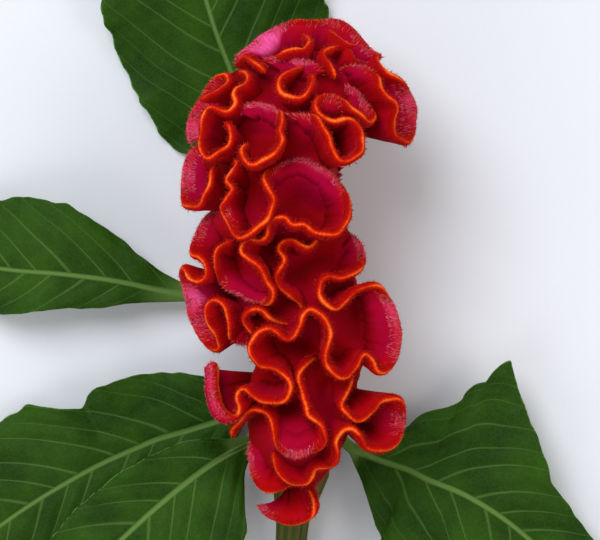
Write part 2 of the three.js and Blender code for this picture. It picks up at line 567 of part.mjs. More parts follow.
// One closed section through the sheet: up the front, over the rim and down the back.
function sheetSection(samples, index) {
  const before = samples[Math.max(index - 1, 0)];
  const here = samples[index];
  const after = samples[Math.min(index + 1, samples.length - 1)];
  const front = [];
  const back = [];
  let crown;
  SHEET_ROWS.forEach((row) => {
    const point = sheetPoint(here, row);
    const ahead = sheetPoint(after, row);
    const behind = sheetPoint(before, row);
    const along = ahead.clone().sub(behind).normalize();
    const lower = sheetPoint(here, Math.min(row, 1 - ROW_STEP));
    const up = sheetPoint(here, Math.min(row + ROW_STEP, 1)).sub(lower).normalize();
    const normal = along.cross(up).normalize();
    const full = row === 1 ? RIM_HALF_THICKNESS : SHEET_HALF_THICKNESS;
    const atEnd = index === 0 || index + 1 === samples.length;
    const radius = atEnd ? STRAIGHT_RADIUS : bendRadius(behind, point, ahead);
    const half = Math.max(SMALLEST_HALF_THICKNESS, Math.min(full, BEND_CLEARANCE * radius));
    front.push(point.clone().addScaledVector(normal, half));
    back.push(point.clone().addScaledVector(normal, -half));
    crown = point.clone().addScaledVector(up, RIM_CROWN);
  });
  return [...front, crown, ...back.reverse()];
}

// The stretch of sheet between two samples, closed by a strip over each end.
function sheetSolid(sections) {
  const size = sections[0].length;
  const points = sections.flat();
  const triangles = [];
  for (let s = 0; s + 1 < sections.length; s++) {
    for (let k = 0; k < size; k++) {
      const a = s * size + k;
      const b = s * size + (k + 1) % size;
      triangles.push([a, b + size, b], [a, a + size, b + size]);
    }
  }
  const last = (sections.length - 1) * size;
  for (let k = 0; k < (size - 1) / 2; k++) {
    const far = size - 1 - k;
    triangles.push([k, k + 1, far], [last + k, last + far, last + k + 1]);
    if (k + 1 < far - 1) {
      triangles.push([k + 1, far - 1, far], [last + k + 1, last + far, last + far - 1]);
    }
  }
  return toSolid(closedGeometry(points, triangles));
}

function ridgeSolids(points) {
  const samples = ridgeSamples(points);
  const sections = samples.map((sample, index) => sheetSection(samples, index));
  const solids = [];
  for (let start = 0; start + 1 < sections.length; start += STEPS_PER_SOLID) {
    solids.push(sheetSolid(sections.slice(start, start + STEPS_PER_SOLID + 1)));
  }
  return solids;
}

// Sizes of the core at a place along it.
function coreAt(y) {
  const last = CORE_STATIONS.length - 1;
  let i = 0;
  while (i < last - 1 && CORE_STATIONS[i + 1][0] < y) i++;
  const start = CORE_STATIONS[i][0];
  const share = (y - start) / (CORE_STATIONS[i + 1][0] - start);
  const place = i + THREE.MathUtils.clamp(share, 0, 1);
  const [x, halfWidth, top, underside] = [1, 2, 3, 4].map((column) => between(CORE_STATIONS, place, column));
  return { x, halfWidth, top, underside, middle: THREE.MathUtils.lerp(underside, top, CORE_WIDEST_SHARE) };
}

// The flattened fan of tissue under the folds, with pleats that run up it from the stem.
function coreSolid() {
  const rings = [];
  const start = CORE_STATIONS[0][0];
  const end = CORE_STATIONS[CORE_STATIONS.length - 1][0];
  for (let s = 0; s <= CORE_SLICES; s++) {
    const y = THREE.MathUtils.lerp(start, end, s / CORE_SLICES);
    const core = coreAt(y);
    const pleat = 1 + CORE_PLEAT_DEPTH * Math.cos(2 * Math.PI * y / CORE_PLEAT_PITCH);
    const ring = [];
    for (let k = 0; k < CORE_SIDES; k++) {
      const angle = 2 * Math.PI * k / CORE_SIDES;
      const height = Math.sin(angle) > 0 ? core.top - core.middle : core.middle - core.underside;
      ring.push(new THREE.Vector3(
        core.x + Math.cos(angle) * core.halfWidth * pleat, y, core.middle + Math.sin(angle) * height));
    }
    rings.push(ring.reverse());
  }
  return toSolid(ringSkin(rings));
}

function largestBody(solid) {
  const bodies = solid.decompose();
  bodies.sort((a, b) => b.volume() - a.volume());
  return bodies[0];
}

function crestGeometry() {
  const solids = Object.values(RIDGES).flatMap(ridgeSolids);
  const joined = wasm.Manifold.union([coreSolid(), ...solids]);
  const seat = toSolid(stemGeometry(STEM_FIT_GAP));
  const tidied = new Tidier(toGeometry(largestBody(joined.subtract(seat)))).run();
  return mergeVertices(tidied, WELD);
}

// Stem

// The stem's skin, grown by a gap for the seat that the head has on it.
function stemGeometry(gap = 0) {
  const rings = STEM_STATIONS.map(([x, y, z, halfWidth, halfHeight], index) => {
    const atEnd = index === STEM_STATIONS.length - 1 ? gap : 0;
    const ring = [];
    for (let k = 0; k < STEM_SIDES; k++) {
      const angle = 2 * Math.PI * (k + 0.5) / STEM_SIDES;
      const groove = k % 2 === 0 ? 1 : STEM_GROOVE;
      const height = z + Math.sin(angle) * (halfHeight * groove + gap);
      ring.push(new THREE.Vector3(
        x + Math.cos(angle) * (halfWidth * groove + gap), y + atEnd, Math.max(height, -gap)));
    }
    return ring.reverse();
  });
  return ringSkin(rings);
}

// Leaves

function leafStations(leaf) {
  const curve = new THREE.CatmullRomCurve3(
    leaf.stations.map(([x, y, z]) => new THREE.Vector3(x, y, z)), false, 'centripetal');
  const count = leaf.stations.length - 1;
  const stations = [];
  for (let i = 0; i <= 2 * count; i++) {
    const place = i / 2;
    const midrib = curve.getPoint(place / count);
    const along = curve.getTangent(place / count).setZ(0).normalize();
    stations.push({
      midrib,
      across: new THREE.Vector3(-along.y, along.x, 0),
      left: between(leaf.stations, place, 3),
      right: between(leaf.stations, place, 4),
      share: place / count,
    });
  }
  return stations;
}

// Height of the blade beside its midrib: a shallow trough with waves that grow to the margin.
function bladeLift(leaf, station, column, width) {
  const side = Math.abs(column);
  const blade = THREE.MathUtils.smoothstep(width, STALK_WIDTH, BLADE_WIDTH);
  const offset = column > 0 ? 0 : WAVE_OFFSET;
  const wave = Math.sin(2 * Math.PI * leaf.waves * station.share + leaf.phase + offset);
  return blade * (LEAF_TROUGH * side + leaf.swell * wave * side ** WAVE_GROWTH);
}

function leafGeometry(leaf) {
  const stations = leafStations(leaf);
  const columns = LEAF_COLUMNS.length;
  const top = [];
  const bottom = [];
  for (const station of stations) {
    for (const column of LEAF_COLUMNS) {
      const width = column < 0 ? station.right : station.left;
      const stalk = 1 - THREE.MathUtils.smoothstep(width, STALK_WIDTH / 2, 2 * STALK_WIDTH);
      const rib = (1 - station.share) * (MIDRIB_HALF_THICKNESS - LEAF_HALF_THICKNESS);
      const blade = LEAF_HALF_THICKNESS + (column === 0 ? rib : 0);
      const round = Math.sqrt(1 - STALK_ROUNDNESS * column * column);
      const inStalk = station.share < 0.5 ? stalk : 0;
      const half = THREE.MathUtils.lerp(blade, STALK_HALF_THICKNESS * round, inStalk);
      const place = station.midrib.clone().addScaledVector(station.across, column * width);
      const middle = Math.max(place.z + bladeLift(leaf, station, column, width), half);
      top.push(place.clone().setZ(middle + half));
      bottom.push(place.clone().setZ(middle - half));
    }
  }
  const under = top.length;
  const triangles = [];
  const wall = (a, b) => triangles.push([a, b, b + under], [a, b + under, a + under]);
  for (let s = 0; s + 1 < stations.length; s++) {
    for (let c = 0; c + 1 < columns; c++) {
      const a = s * columns + c;
      const b = a + columns;
      const below = a + under;
      const ahead = b + under;
      triangles.push([a, b, b + 1], [a, b + 1, a + 1]);
      triangles.push([below, ahead + 1, ahead], [below, below + 1, ahead + 1]);
    }
    wall((s + 1) * columns, s * columns);
    wall(s * columns + columns - 1, (s + 1) * columns + columns - 1);
  }
  const end = (stations.length - 1) * columns;
  for (let c = 0; c + 1 < columns; c++) {
    wall(c, c + 1);
    wall(end + c + 1, end + c);
  }
  return closedGeometry([...top, ...bottom], triangles);
}

// Assembly

function addPiece(group, name, geometry, material) {
  const piece = new THREE.Mesh(geometry, material);
  piece.name = name;
  group.add(piece);
}

const group = new THREE.Group();
addPiece(group, 'crest', crestGeometry(), crestMaterial());
addPiece(group, 'stem', stemGeometry(), stemMaterial());
for (const [name, leaf] of Object.entries(LEAVES)) {
  addPiece(group, name, leafGeometry(leaf), leafMaterial());
}

export default group;
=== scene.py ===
"""Looks of a cut cockscomb bloom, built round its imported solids.

Lengths are in millimetres up to the step that makes a mesh. The settings and the stage are in metres.
"""

import math

import bmesh
import bpy
import numpy as np
from bpy.props import FloatProperty, FloatVectorProperty, IntProperty, PointerProperty
from bpy.types import Operator, Panel, PropertyGroup
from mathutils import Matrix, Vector


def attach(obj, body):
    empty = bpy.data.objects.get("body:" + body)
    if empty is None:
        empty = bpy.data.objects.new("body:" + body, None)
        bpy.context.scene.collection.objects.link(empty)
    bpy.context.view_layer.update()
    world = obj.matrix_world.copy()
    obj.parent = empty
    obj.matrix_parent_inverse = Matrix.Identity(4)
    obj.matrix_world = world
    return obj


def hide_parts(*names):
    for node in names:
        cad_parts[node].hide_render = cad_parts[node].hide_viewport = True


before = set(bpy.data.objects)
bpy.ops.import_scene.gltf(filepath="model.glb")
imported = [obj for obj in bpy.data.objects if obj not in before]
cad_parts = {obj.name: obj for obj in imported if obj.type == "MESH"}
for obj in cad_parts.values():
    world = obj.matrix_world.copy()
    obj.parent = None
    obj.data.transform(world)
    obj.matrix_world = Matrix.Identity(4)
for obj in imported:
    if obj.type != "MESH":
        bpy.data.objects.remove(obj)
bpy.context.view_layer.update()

bl_info = {
    "name": "Cockscomb Bloom",
    "version": (1, 0, 0),
    "blender": (4, 5, 0),
    "location": "3D View > Sidebar > Cockscomb",
    "description": "Builds a crested cockscomb flower with its stem and leaves",
    "category": "Add Mesh",
}

# One millimetre in metres.
MM = 0.001
# Points of a mesh that lie closer than this, in metres, are joined.
JOIN = 1e-7

# The fan of tissue under the folds: y, x of its middle, half width, top z and underside z.
CORE_STATIONS = [
    [-57, -2, 4.5, 24, 15],
    [-50, -2, 9, 29, 10],
    [-40, 0, 12, 34, 7.5],
    [-30, 0.5, 12.5, 37, 7],
    [-21, 3, 12, 38, 7],
    [-10, 0, 14, 38, 7],
    [0, -2, 14, 38, 7],
    [10, -4, 13, 39, 7],
    [20, -4, 13, 39, 7],
    [30, -3, 14, 37, 8],
    [40, 0, 15, 34, 9.5],
    [50, 1, 13, 28, 12],
    [57, 1, 6, 23, 15],
]
# It is widest at this share of its height.
CORE_WIDEST_SHARE = 0.35

# The growing edge of each fold: x, y and z of its points, and how far the sheet curls there.
# At 0 it stands up and at 1 it rolls over. Past 1 it only gets pinker and furrier: the pink is
# partly the real hairs and partly a painted highlight on the curled faces. Below 0 its rim is
# tucked in and it bellies out.
RIDGES = {
    "bottom_lobe": [
        [-2.5, -54, 27, 0], [0, -53.5, 29, 0], [2, -54.5, 30, 0], [3.2, -57, 31, -0.4],
        [3.8, -59.5, 32, -0.5], [2.8, -62, 32, -0.2], [0.5, -63.2, 32, 0], [-3, -63.8, 31, 0],
        [-6.5, -63, 30, 0.4], [-9.5, -61.8, 28, 0.8], [-11, -59.5, 26, 1.5],
    ],
    "lower_left_lobe": [
        [-8, -42, 32, 0], [-10.5, -41.8, 34, 0], [-12, -43.2, 35, 0.6], [-13, -46.2, 36, 1.2],
        [-12.8, -50, 36, 1.2], [-11, -53.5, 36, 0.4], [-8.5, -55.2, 37, 0], [-5.8, -55, 37, 0],
        [-3.2, -53.8, 36, 0], [-0.8, -53.2, 35, 0],
    ],
    "lower_right_fold": [
        [-6.2, -45.8, 40, 0], [-6, -48, 41, 0], [-5.2, -50.2, 41, 0], [-3.5, -52.2, 41, 0],
        [-0.8, -53.2, 40, 0], [1.8, -53, 40, 0], [2.8, -51.2, 41, 0], [3.8, -49.5, 42, 0],
        [6.2, -49, 42, 0], [8.5, -48.2, 43, 0], [9, -45, 44, 0], [9, -42, 45, 0], [10.2, -40, 45, 0],
        [12.2, -39.5, 45, 0], [14.5, -41, 44, 0], [16.2, -43.8, 42, 0], [18.8, -45, 41, 0],
        [22, -44.5, 40, 0], [24.5, -43.2, 39, 0.3], [26.2, -40.5, 38, 1.1], [26.8, -37.5, 38, 1.2],
        [26.2, -34.5, 39, 0.6], [24.8, -32.8, 40, 0], [22.2, -32.2, 41, 0], [19.8, -32.8, 42, 0],
        [18, -34.8, 43, 0], [15.8, -36.8, 44, 0], [13.8, -37.2, 44, 0], [11.5, -35.8, 44, 0],
        [10.2, -33.8, 44, 0], [10.8, -31.8, 44, 0], [12.2, -29, 43, 0], [12.8, -26.5, 42, 0],
    ],
    "middle_fold": [
        [-22, -23, 38, -1.2], [-21.4, -26.2, 39, -1.3], [-21.2, -30.5, 40, -1.3],
        [-20.2, -34, 41, -1.3], [-18.8, -36, 42, -1.1], [-17.2, -36.8, 43, -0.8],
        [-15.5, -36.2, 44, -0.2], [-14.8, -34.5, 45, 0], [-15.2, -31.8, 46, 0], [-14.5, -30, 46, 0],
        [-13.2, -29.5, 47, 0], [-11.5, -31, 47, 0], [-8.8, -32.5, 48, 0], [-5.5, -32.5, 49, 0],
        [-3.2, -31.5, 49, 0], [-2.2, -29.2, 49, 0], [-3, -27, 49, 0], [-5, -25, 49, 0],
        [-7.2, -24, 48, 0], [-9.8, -23.5, 48, 0], [-11.5, -21.5, 48, 0], [-12, -19, 48, 0],
        [-11.2, -16.8, 49, 0], [-9.5, -15.2, 49, 0], [-7.5, -14.5, 50, 0], [-5.5, -15.5, 50, 0],
        [-3.2, -16.8, 50, 0], [-1.2, -16.2, 51, 0], [-0.2, -13.8, 51, 0], [0.8, -11.2, 52, 0],
        [2.5, -9.8, 52, 0], [4.5, -10.8, 52, 0], [6.5, -12.5, 52, 0], [7.2, -15.5, 51, 0],
        [7, -18.2, 51, 0], [6.2, -21.2, 51, 0], [7, -24, 50, 0], [9.2, -26, 50, 0],
        [11.8, -26.2, 49, 0], [13.5, -24.2, 48, 0], [14.8, -21.8, 47, 0], [16, -21, 46, 0],
        [17.5, -22.2, 45, 0], [19, -25, 44, 0], [21.5, -25.2, 43, 0.2], [24, -22.8, 42, 0.8],
        [25.2, -19.2, 42, 1], [25.5, -15.5, 42, 1.1], [24.5, -11, 42, 1.5], [22.8, -7, 42, 1.4],
        [20.5, -4.5, 43, 0.5], [18.2, -3.8, 43, 0], [15, -4.8, 44, 0], [12.5, -6, 45, 0],
        [10.8, -8.2, 46, 0], [8.8, -9.5, 47, 0], [6.2, -8.2, 47, 0], [4.8, -5.8, 47, 0],
        [5.2, -3, 47, 0], [7.2, -1.8, 46, 0], [10.5, -1.8, 45, 0], [13.2, -0.8, 44, 0],
        [15.5, 1, 43, 0.3], [16.5, 3.5, 42, 1], [15.5, 6.2, 41, 1.4], [13.2, 8.5, 41, 1.3],
        [10.8, 9.2, 40, 0.8],
    ],
    "tongue": [
        [-16.8, -41.8, 36, 0], [-16.5, -39.8, 38, 0], [-15, -38, 40, 0], [-13, -35.8, 41, 0],
        [-10.8, -34.8, 42, 0], [-8.5, -35.2, 43, 0], [-7, -37.5, 44, 0], [-6.2, -41.2, 46, 0],
        [-5, -45, 48, 0.5], [-3, -46.5, 49, 1.1], [-0.5, -47, 50, 1.3], [2.5, -45.8, 50, 1.1],
        [5, -44, 49, 0.2], [6.2, -41.8, 48, 0], [5.5, -39.2, 47, 0], [3.5, -37, 47, 0],
        [2, -35.5, 47, 0], [1.5, -33.2, 47, 0], [0.5, -30.2, 47, 0], [-0.2, -27.2, 47, 0],
        [0.2, -24.5, 46, 0], [2, -22.8, 45, 0], [4, -22.2, 43, 0],
    ],
    "centre_fold": [
        [4.2, 8.5, 42, 0], [3.5, 6.5, 44, 0], [2, 5.2, 45, 0], [0, 6, 46, 0], [-2, 7.2, 46, 0],
        [-4, 6.8, 46, 0], [-5, 5, 46, 0], [-4, 2.5, 46, 0], [-4.8, 0.2, 46, 0], [-5.8, -2, 46, 0],
        [-4.8, -4.2, 46, 0], [-2.5, -6, 45, 0], [-0.2, -7.5, 44, 0], [0.2, -10, 42, 0],
    ],
    "small_curl": [
        [-2.5, -13.2, 42, 0], [-5.8, -13.2, 43, 0], [-7.5, -12, 44, 0], [-9.2, -10.2, 44, 0],
        [-11.2, -9.8, 44, 0], [-13, -10.8, 43, 0], [-13.8, -12.5, 42, 0], [-12.8, -14.5, 42, 0],
        [-10.8, -16, 41, 0],
    ],
    "long_fold": [
        [-16.2, 27.5, 44, 0], [-15.2, 26, 46, 0], [-16.8, 24, 47, 0], [-17.8, 22, 48, 0],
        [-16.5, 20, 49, 0], [-18, 17.5, 50, 0], [-19.2, 15.5, 51, 0.4], [-18.5, 13.2, 52, 0.5],
        [-17, 10.5, 53, 0.4], [-14.8, 8, 54, 0], [-12, 9.2, 54, 0], [-9.2, 11.5, 54, 0],
        [-7.2, 14.2, 54, 0], [-6.5, 17, 54, 0], [-7.5, 19.5, 54, 0], [-8.8, 22.5, 53, 0],
        [-8, 24.2, 52, 0.3], [-5.5, 26.2, 50, 0.8], [-2.5, 27.5, 49, 1.1], [0.8, 27.8, 48, 1.3],
        [4.5, 26.2, 48, 1.4], [8, 24, 48, 1.3], [10.5, 21, 49, 0.9], [11.8, 17.5, 50, 0.3],
        [11.8, 14, 52, 0], [10.8, 11, 53, 0], [8.8, 9.2, 54, 0], [5.5, 8.8, 54, 0], [3.2, 9.5, 54, 0],
        [0.8, 11.2, 54, 0], [-2.2, 11.2, 54, 0], [-4, 12.8, 53, 0], [-6, 12.8, 53, 0],
        [-7.5, 11, 52, 0], [-8.2, 8.5, 51, 0], [-9.8, 7.2, 50, 0], [-12.2, 7.5, 50, 0],
        [-13.8, 6, 50, 0], [-14.2, 4.2, 50, 0], [-12.8, 2.8, 50, 0], [-10.5, 1.5, 50, 0],
        [-9.2, -0.5, 50, 0], [-8, -3.2, 49, 0], [-6.5, -5.5, 49, 0], [-6.8, -7.5, 48, 0.2],
        [-9.2, -8.5, 46, 0.8], [-12.5, -7.8, 44, 1], [-16, -6.2, 43, 1], [-19, -4.5, 42, 0.8],
        [-20.2, -1.2, 42, 0.2], [-20.8, 2, 43, 0], [-20.2, 5, 44, 0], [-18.2, 6.2, 44, 0],
        [-16.2, 7.5, 43, 0],
    ],
    "left_fold": [
        [-18.2, 14.6, 38, 0.8], [-21, 15, 37, 1], [-23.8, 13.2, 37, 1], [-26, 10.2, 37, 1],
        [-27, 6.8, 38, 0.8], [-26.8, 4.2, 40, 0], [-24.8, 3.2, 41, 0], [-23.2, 1.2, 41, 0],
        [-23.2, -1.5, 41, 0], [-25, -3, 40, 0], [-27.2, -1.8, 39, 0], [-29, 0.5, 37, 0],
        [-30, -0.8, 36, 0.6], [-29.2, -3.8, 35, 1.7], [-28.8, -6.8, 34, 2], [-28.2, -8.8, 34, 1.7],
        [-28.5, -10.8, 34, 1.2], [-27, -14.5, 34, 1.1], [-24.5, -18, 35, 0.8], [-21.8, -19.8, 36, 0.2],
        [-19.8, -19.5, 37, 0], [-20.2, -17, 38, 0], [-22, -14.2, 39, 0], [-23, -11.5, 40, 0],
        [-22.5, -8.5, 40, 0], [-20.8, -7.5, 40, 0], [-18.8, -9, 41, 0], [-17.5, -11.8, 41, 0],
        [-17.2, -15, 41, 0], [-16.8, -17.5, 40, 0.5], [-14.2, -18.5, 39, 0.8], [-12, -18, 38, 0.5],
    ],
    "upper_left_lobe": [
        [-20.2, 26.2, 42, 0], [-21.8, 24.2, 43, 0], [-22.2, 21.5, 43, 0], [-23.5, 18.2, 42, 0],
        [-24.8, 16.2, 41, 0], [-27.5, 16, 39, 0], [-29, 16.5, 37, 0.3], [-29.8, 18.8, 35, 0.9],
        [-30, 22.5, 33, 1.5], [-29, 26.8, 33, 1.4], [-27.2, 30.2, 34, 1], [-24.8, 32, 35, 0.9],
    ],
    "upper_left_curl": [
        [-15.5, 49.8, 36, 0], [-13.2, 49, 38, 0], [-12.5, 47.5, 40, 0], [-13.5, 46.2, 41, 0],
        [-15.5, 45.2, 42, 0], [-16.2, 43.5, 43, 0], [-15.8, 41.5, 44, 0], [-17.5, 39.5, 45, 0],
        [-20, 39.8, 45, 0], [-22.5, 40.2, 44, 0], [-23.8, 38.2, 44, 0], [-24, 35, 44, 0],
        [-24.5, 32.2, 44, 0], [-24.2, 29.5, 45, 0], [-22.8, 28, 46, 0], [-20, 29, 47, 0],
        [-17.5, 30.8, 47, 0], [-16.8, 33, 47, 0], [-17.2, 35.2, 46, 0], [-18.5, 36.8, 44, 0],
    ],
    "outer_left_lobe": [
        [-25, 42.5, 38, 0], [-22.2, 44, 39, 0], [-19.2, 45.5, 39, 0], [-17.5, 47, 38, 0],
        [-18.2, 48.8, 37, 0.3], [-20.8, 48.8, 35, 0.6], [-23.5, 46, 34, 0.8], [-25.8, 42.4, 34, 0.9],
        [-27.5, 39.5, 34, 1], [-28.2, 35, 34, 1.6], [-27.5, 31.2, 35, 1.5],
    ],
    "upper_cup": [
        [-18, 38.2, 44, 0.8], [-15.6, 40.2, 45, 1.1], [-13, 41.4, 45, 1.4], [-9.5, 41.8, 45, 1.5],
        [-6.2, 40.8, 46, 1.3], [-4, 39, 47, 0.7], [-4.6, 36.5, 50, 0], [-4.8, 34.5, 52, 0],
        [-4.5, 31.8, 54, 0], [-5.8, 29.2, 55, 0], [-8.5, 27.2, 56, 0], [-11.5, 26, 56, 0],
        [-13.5, 26.8, 55, 0], [-14.2, 29, 53, 0], [-13, 31, 50, 0],
    ],
    "upper_right_fold": [
        [-3.2, 38.8, 48, 0.6], [0, 38.6, 50, 0.7], [3, 38.2, 51, 0.6], [4.8, 36.5, 52, 0],
        [6.5, 33.5, 53, 0], [7.8, 30, 54, 0], [9.5, 27.2, 54, 0], [12, 27, 54, 0], [14.5, 29, 53, 0],
        [15.2, 31.8, 51, 0], [14.5, 34.8, 50, 0], [12.5, 37, 49, 0], [10.2, 37.2, 49, 0],
        [8, 36.8, 49, 0], [5.8, 37.5, 49, 0], [4.2, 39.8, 48, 0], [3.8, 41.5, 48, 0], [5, 43, 48, 0.5],
        [7.5, 43.5, 48, 0.8], [10, 42.2, 48, 0.4], [13, 39.8, 47, 0], [15.5, 37.8, 46, 0],
        [17.2, 36.8, 44, 0], [18.5, 38.2, 43, 0.4], [17.8, 40.5, 42, 1], [15.5, 43.5, 41, 1.3],
        [13, 45.8, 40, 1.3], [10.5, 46.5, 39, 0.9],
    ],
    "round_cup": [
        [1, 50.5, 40, 0], [-1.8, 49.8, 41, 0], [-4, 48.5, 42, 0], [-5.2, 46.2, 44, 0],
        [-4.5, 44, 45, 0], [-2.5, 42.8, 46, 0], [0.2, 42.8, 46, 0], [2.2, 44.2, 45, 0],
        [3, 46.5, 44, 0], [2.8, 49, 42, 0],
    ],
    "top_front_fold": [
        [-10.2, 52.2, 37, 0.7], [-7.5, 53.2, 38, 1.1], [-4, 53.4, 39, 1.1], [-0.8, 53, 40, 1.5],
        [2.4, 52, 40, 1.6], [5, 50.6, 40, 1], [7, 49.2, 39, 0.3],
    ],
    "top_left_fold": [
        [-16.5, 51.5, 32, 0.3], [-13.5, 53.6, 34, 0], [-11, 51.8, 37, 0], [-8.5, 49.5, 39, 0],
    ],
    "top_middle_fold": [
        [-5.8, 53.2, 38, 0], [-3.2, 54.8, 38, 0], [-0.5, 55.2, 38, 0], [1.2, 55, 37, 0],
        [2.2, 56.4, 36, 0], [2, 58, 34, 0], [1, 59.2, 32, 0],
    ],
    "top_right_fold": [
        [7.2, 60.5, 30, 0], [9, 58.5, 32, 0], [11.2, 57, 33, 0], [13.8, 56.5, 33, 0],
    ],
    "top_right_curl": [
        [11.2, 57, 31, 0], [11.9, 55.4, 33, 0], [12.6, 53.8, 34, 0], [14.8, 52.2, 34, 0],
    ],
    "top_small_curl": [
        [9.5, 56, 35, 0], [6.8, 55.5, 36, 0], [5.5, 53.8, 37, 0], [6.8, 52, 38, 0], [8, 50.2, 39, 0],
        [8.4, 48, 39, 0],
    ],
    "right_top_lobe": [
        [9.5, 49.6, 36, 0.6], [12.2, 51, 38, 0.7], [15.5, 50.8, 40, 0.7], [18, 49.6, 42, 0.5],
        [19.4, 47.8, 43, 0], [20, 45.2, 43, 0], [21.2, 43.5, 43, 0], [23.2, 42, 43, 0],
        [23.8, 40, 42, 0], [23, 37.5, 41, 0], [23, 35, 40, 0], [24.5, 33.2, 38, 0], [27, 32.2, 35, 0.3],
        [28.5, 33.8, 33, 0.8], [29.2, 37, 32, 1], [29.8, 40.8, 32, 1.3], [28.8, 43.8, 33, 1.6],
        [27, 46.8, 34, 0.8], [23.8, 48.6, 36, 0.2], [21, 50, 36, 0], [19.2, 52, 35, 0],
        [19, 54.5, 33, 0],
    ],
    "top_cap": [
        [-16.5, 52, 30, 1.2], [-16, 54.2, 29, 1.4], [-12.5, 56.5, 29, 2], [-10.5, 59.2, 28, 2],
        [-7.5, 61.2, 28, 2], [-3.8, 63, 27, 1], [0, 63.2, 27, 0.3], [3.8, 62.8, 27, 0.4],
        [6.2, 64, 26, 0.9], [10.5, 63.5, 26, 0.6], [13.8, 61, 26, 0.6], [16.5, 57, 27, 0.7],
        [18, 55.2, 28, 1], [21.5, 53.5, 30, 1],
    ],
}

# The foot of this fold stands further along the bloom than its rim asks for.
ROOT_SHIFTS = {"right_top_lobe": 5}

# The stem from its cut end up: x, y and z of its middle, half width and half height.
STEM_STATIONS = [
    [-4.6, -128, 2.9, 3.1, 3.1],
    [-4.2, -112, 3.0, 3.2, 3.2],
    [-3.7, -96, 3.1, 3.3, 3.3],
    [-3, -80, 3.3, 3.6, 3.5],
    [-2, -66, 3.9, 4.3, 4.1],
    [0, -54, 4.7, 7.4, 5.8],
    [0, -42, 4.7, 8.8, 6.1],
    [0, -28, 4.8, 9.4, 6.2],
    [0, -14, 4.8, 9.4, 6.2],
    [0, -4, 4.8, 8.8, 6.2],
    [0, 10, 4.8, 7.6, 6.1],
    [0, 18, 5.2, 5.4, 4.9],
]

# Each leaf: the waves of its margins, how far they swell, where in a wave it starts, and its
# midrib from the stem out, as x, y and z of its points and the width of the blade left and
# right of them.
LEAVES = {
    "leaf_upper_left": {
        "waves": 5.5, "swell": 1.6, "phase": 0.4,
        "stations": [
            [-9.9, 2, 4.2, 1.4, 1.4], [-11.2, 7, 3.8, 1.5, 1.5], [-11.4, 13, 2.8, 1.6, 1.6],
            [-11, 19, 2.2, 2, 2.2], [-10.8, 26, 1.8, 6, 8], [-11.8, 33, 1.6, 15.5, 19],
            [-14, 40, 1.6, 22, 26], [-18.2, 52, 2, 24.8, 29], [-22, 62, 3.5, 25.8, 30],
            [-26, 75, 5.5, 27.2, 27], [-31, 90, 5, 21, 19], [-37, 104, 2.2, 10, 9],
            [-43, 115, 0.4, 0.6, 0.6],
        ],
    },
    "leaf_left": {
        "waves": 4.5, "swell": 1.4, "phase": 2.2,
        "stations": [
            [-9.6, -11, 4.4, 1.4, 1.4], [-18, -9, 5, 1.5, 1.5], [-29, -6.5, 6.5, 1.8, 2.2],
            [-37.5, -5, 8, 3.5, 5], [-44, -3.6, 9.5, 5.3, 8.2], [-50, -2.5, 10.5, 7.5, 12],
            [-62.5, -1, 10.5, 9.2, 18.4], [-75, 0, 9, 11.8, 19.5], [-88, 2, 6, 10, 15],
            [-100, 5, 2.5, 6, 8], [-110, 8, 0.4, 0.6, 0.6],
        ],
    },
    "leaf_lower_left_outer": {
        "waves": 4.5, "swell": 1.8, "phase": 1.0,
        "stations": [
            [-9.7, -33, 4.2, 1.4, 1.4], [-14, -36, 4.4, 1.6, 1.6], [-20, -38.8, 4.8, 7, 12],
            [-28.5, -41.6, 5.5, 11, 15.6], [-37, -44, 6.2, 13, 17.5], [-44, -46.9, 6.5, 14, 18.6],
            [-48.3, -48.8, 6.6, 14.2, 17.6], [-50.5, -49.8, 6.7, 14.5, 15],
            [-54.5, -51.8, 6.8, 15, 17.8], [-60, -54.9, 6.6, 15.5, 23], [-70, -61, 6, 16, 22],
            [-82, -69.5, 4.5, 13, 17], [-94, -79.5, 2, 7, 9], [-103, -88, 0.4, 0.6, 0.6],
        ],
    },
    "leaf_lower_left_inner": {
        "waves": 5, "swell": 1.6, "phase": 3.0,
        "stations": [
            [-9.4, -43, 5.4, 1.4, 1.4], [-12.5, -44.6, 7.5, 1.5, 1.5], [-17.5, -47, 11.5, 6.5, 3.5],
            [-25, -51.6, 15, 20, 9], [-37.5, -61.6, 16.5, 24, 13], [-50, -73.4, 14.5, 21, 14],
            [-62, -86, 9, 15, 11], [-72, -98, 3.5, 7.5, 6], [-78, -106, 0.4, 0.6, 0.6],
        ],
    },
    "leaf_lower_right": {
        "waves": 4.5, "swell": 1.6, "phase": 1.6,
        "stations": [
            [9.6, -43, 4.6, 1.4, 1.4], [14, -46.8, 5.2, 1.5, 1.5], [19.5, -49.2, 6.2, 4.5, 8],
            [24.8, -51, 7.3, 11.2, 17], [28.5, -52.2, 8.3, 17.2, 21], [33, -54.4, 9.4, 24.2, 23],
            [37.6, -56.2, 10.4, 29.6, 24], [40.2, -57.2, 10.6, 37.2, 24], [43, -58.5, 10.6, 30, 24],
            [49.8, -62.5, 10.2, 22, 23], [56, -67, 9.3, 15, 20], [63.5, -73.6, 7.6, 12.6, 16],
            [72, -82, 5, 10.5, 10.5], [80, -91, 2.3, 5.5, 5.5], [86.5, -99, 0.4, 0.6, 0.6],
        ],
    },
}


# Colours


def linear(hex_colour):
    """Turns an sRGB hex colour into the linear values that the shaders take."""
    channels = [int(hex_colour[k:k + 2], 16) / 255 for k in (1, 3, 5)]
    return tuple(c / 12.92 if c <= 0.04045 else ((c + 0.055) / 1.055) ** 2.4 for c in channels)


def grey(value):
    return (value, value, value)


def shader_colour(colour):
    """Red, green, blue and alpha of a hex colour, or of one that is linear already."""
    return (*(linear(colour) if isinstance(colour, str) else colour), 1)


def colour_property(name, description, hex_colour):
    return FloatVectorProperty(name=name, description=description, subtype="COLOR", size=3,
                               min=0, max=1, default=linear(hex_colour))


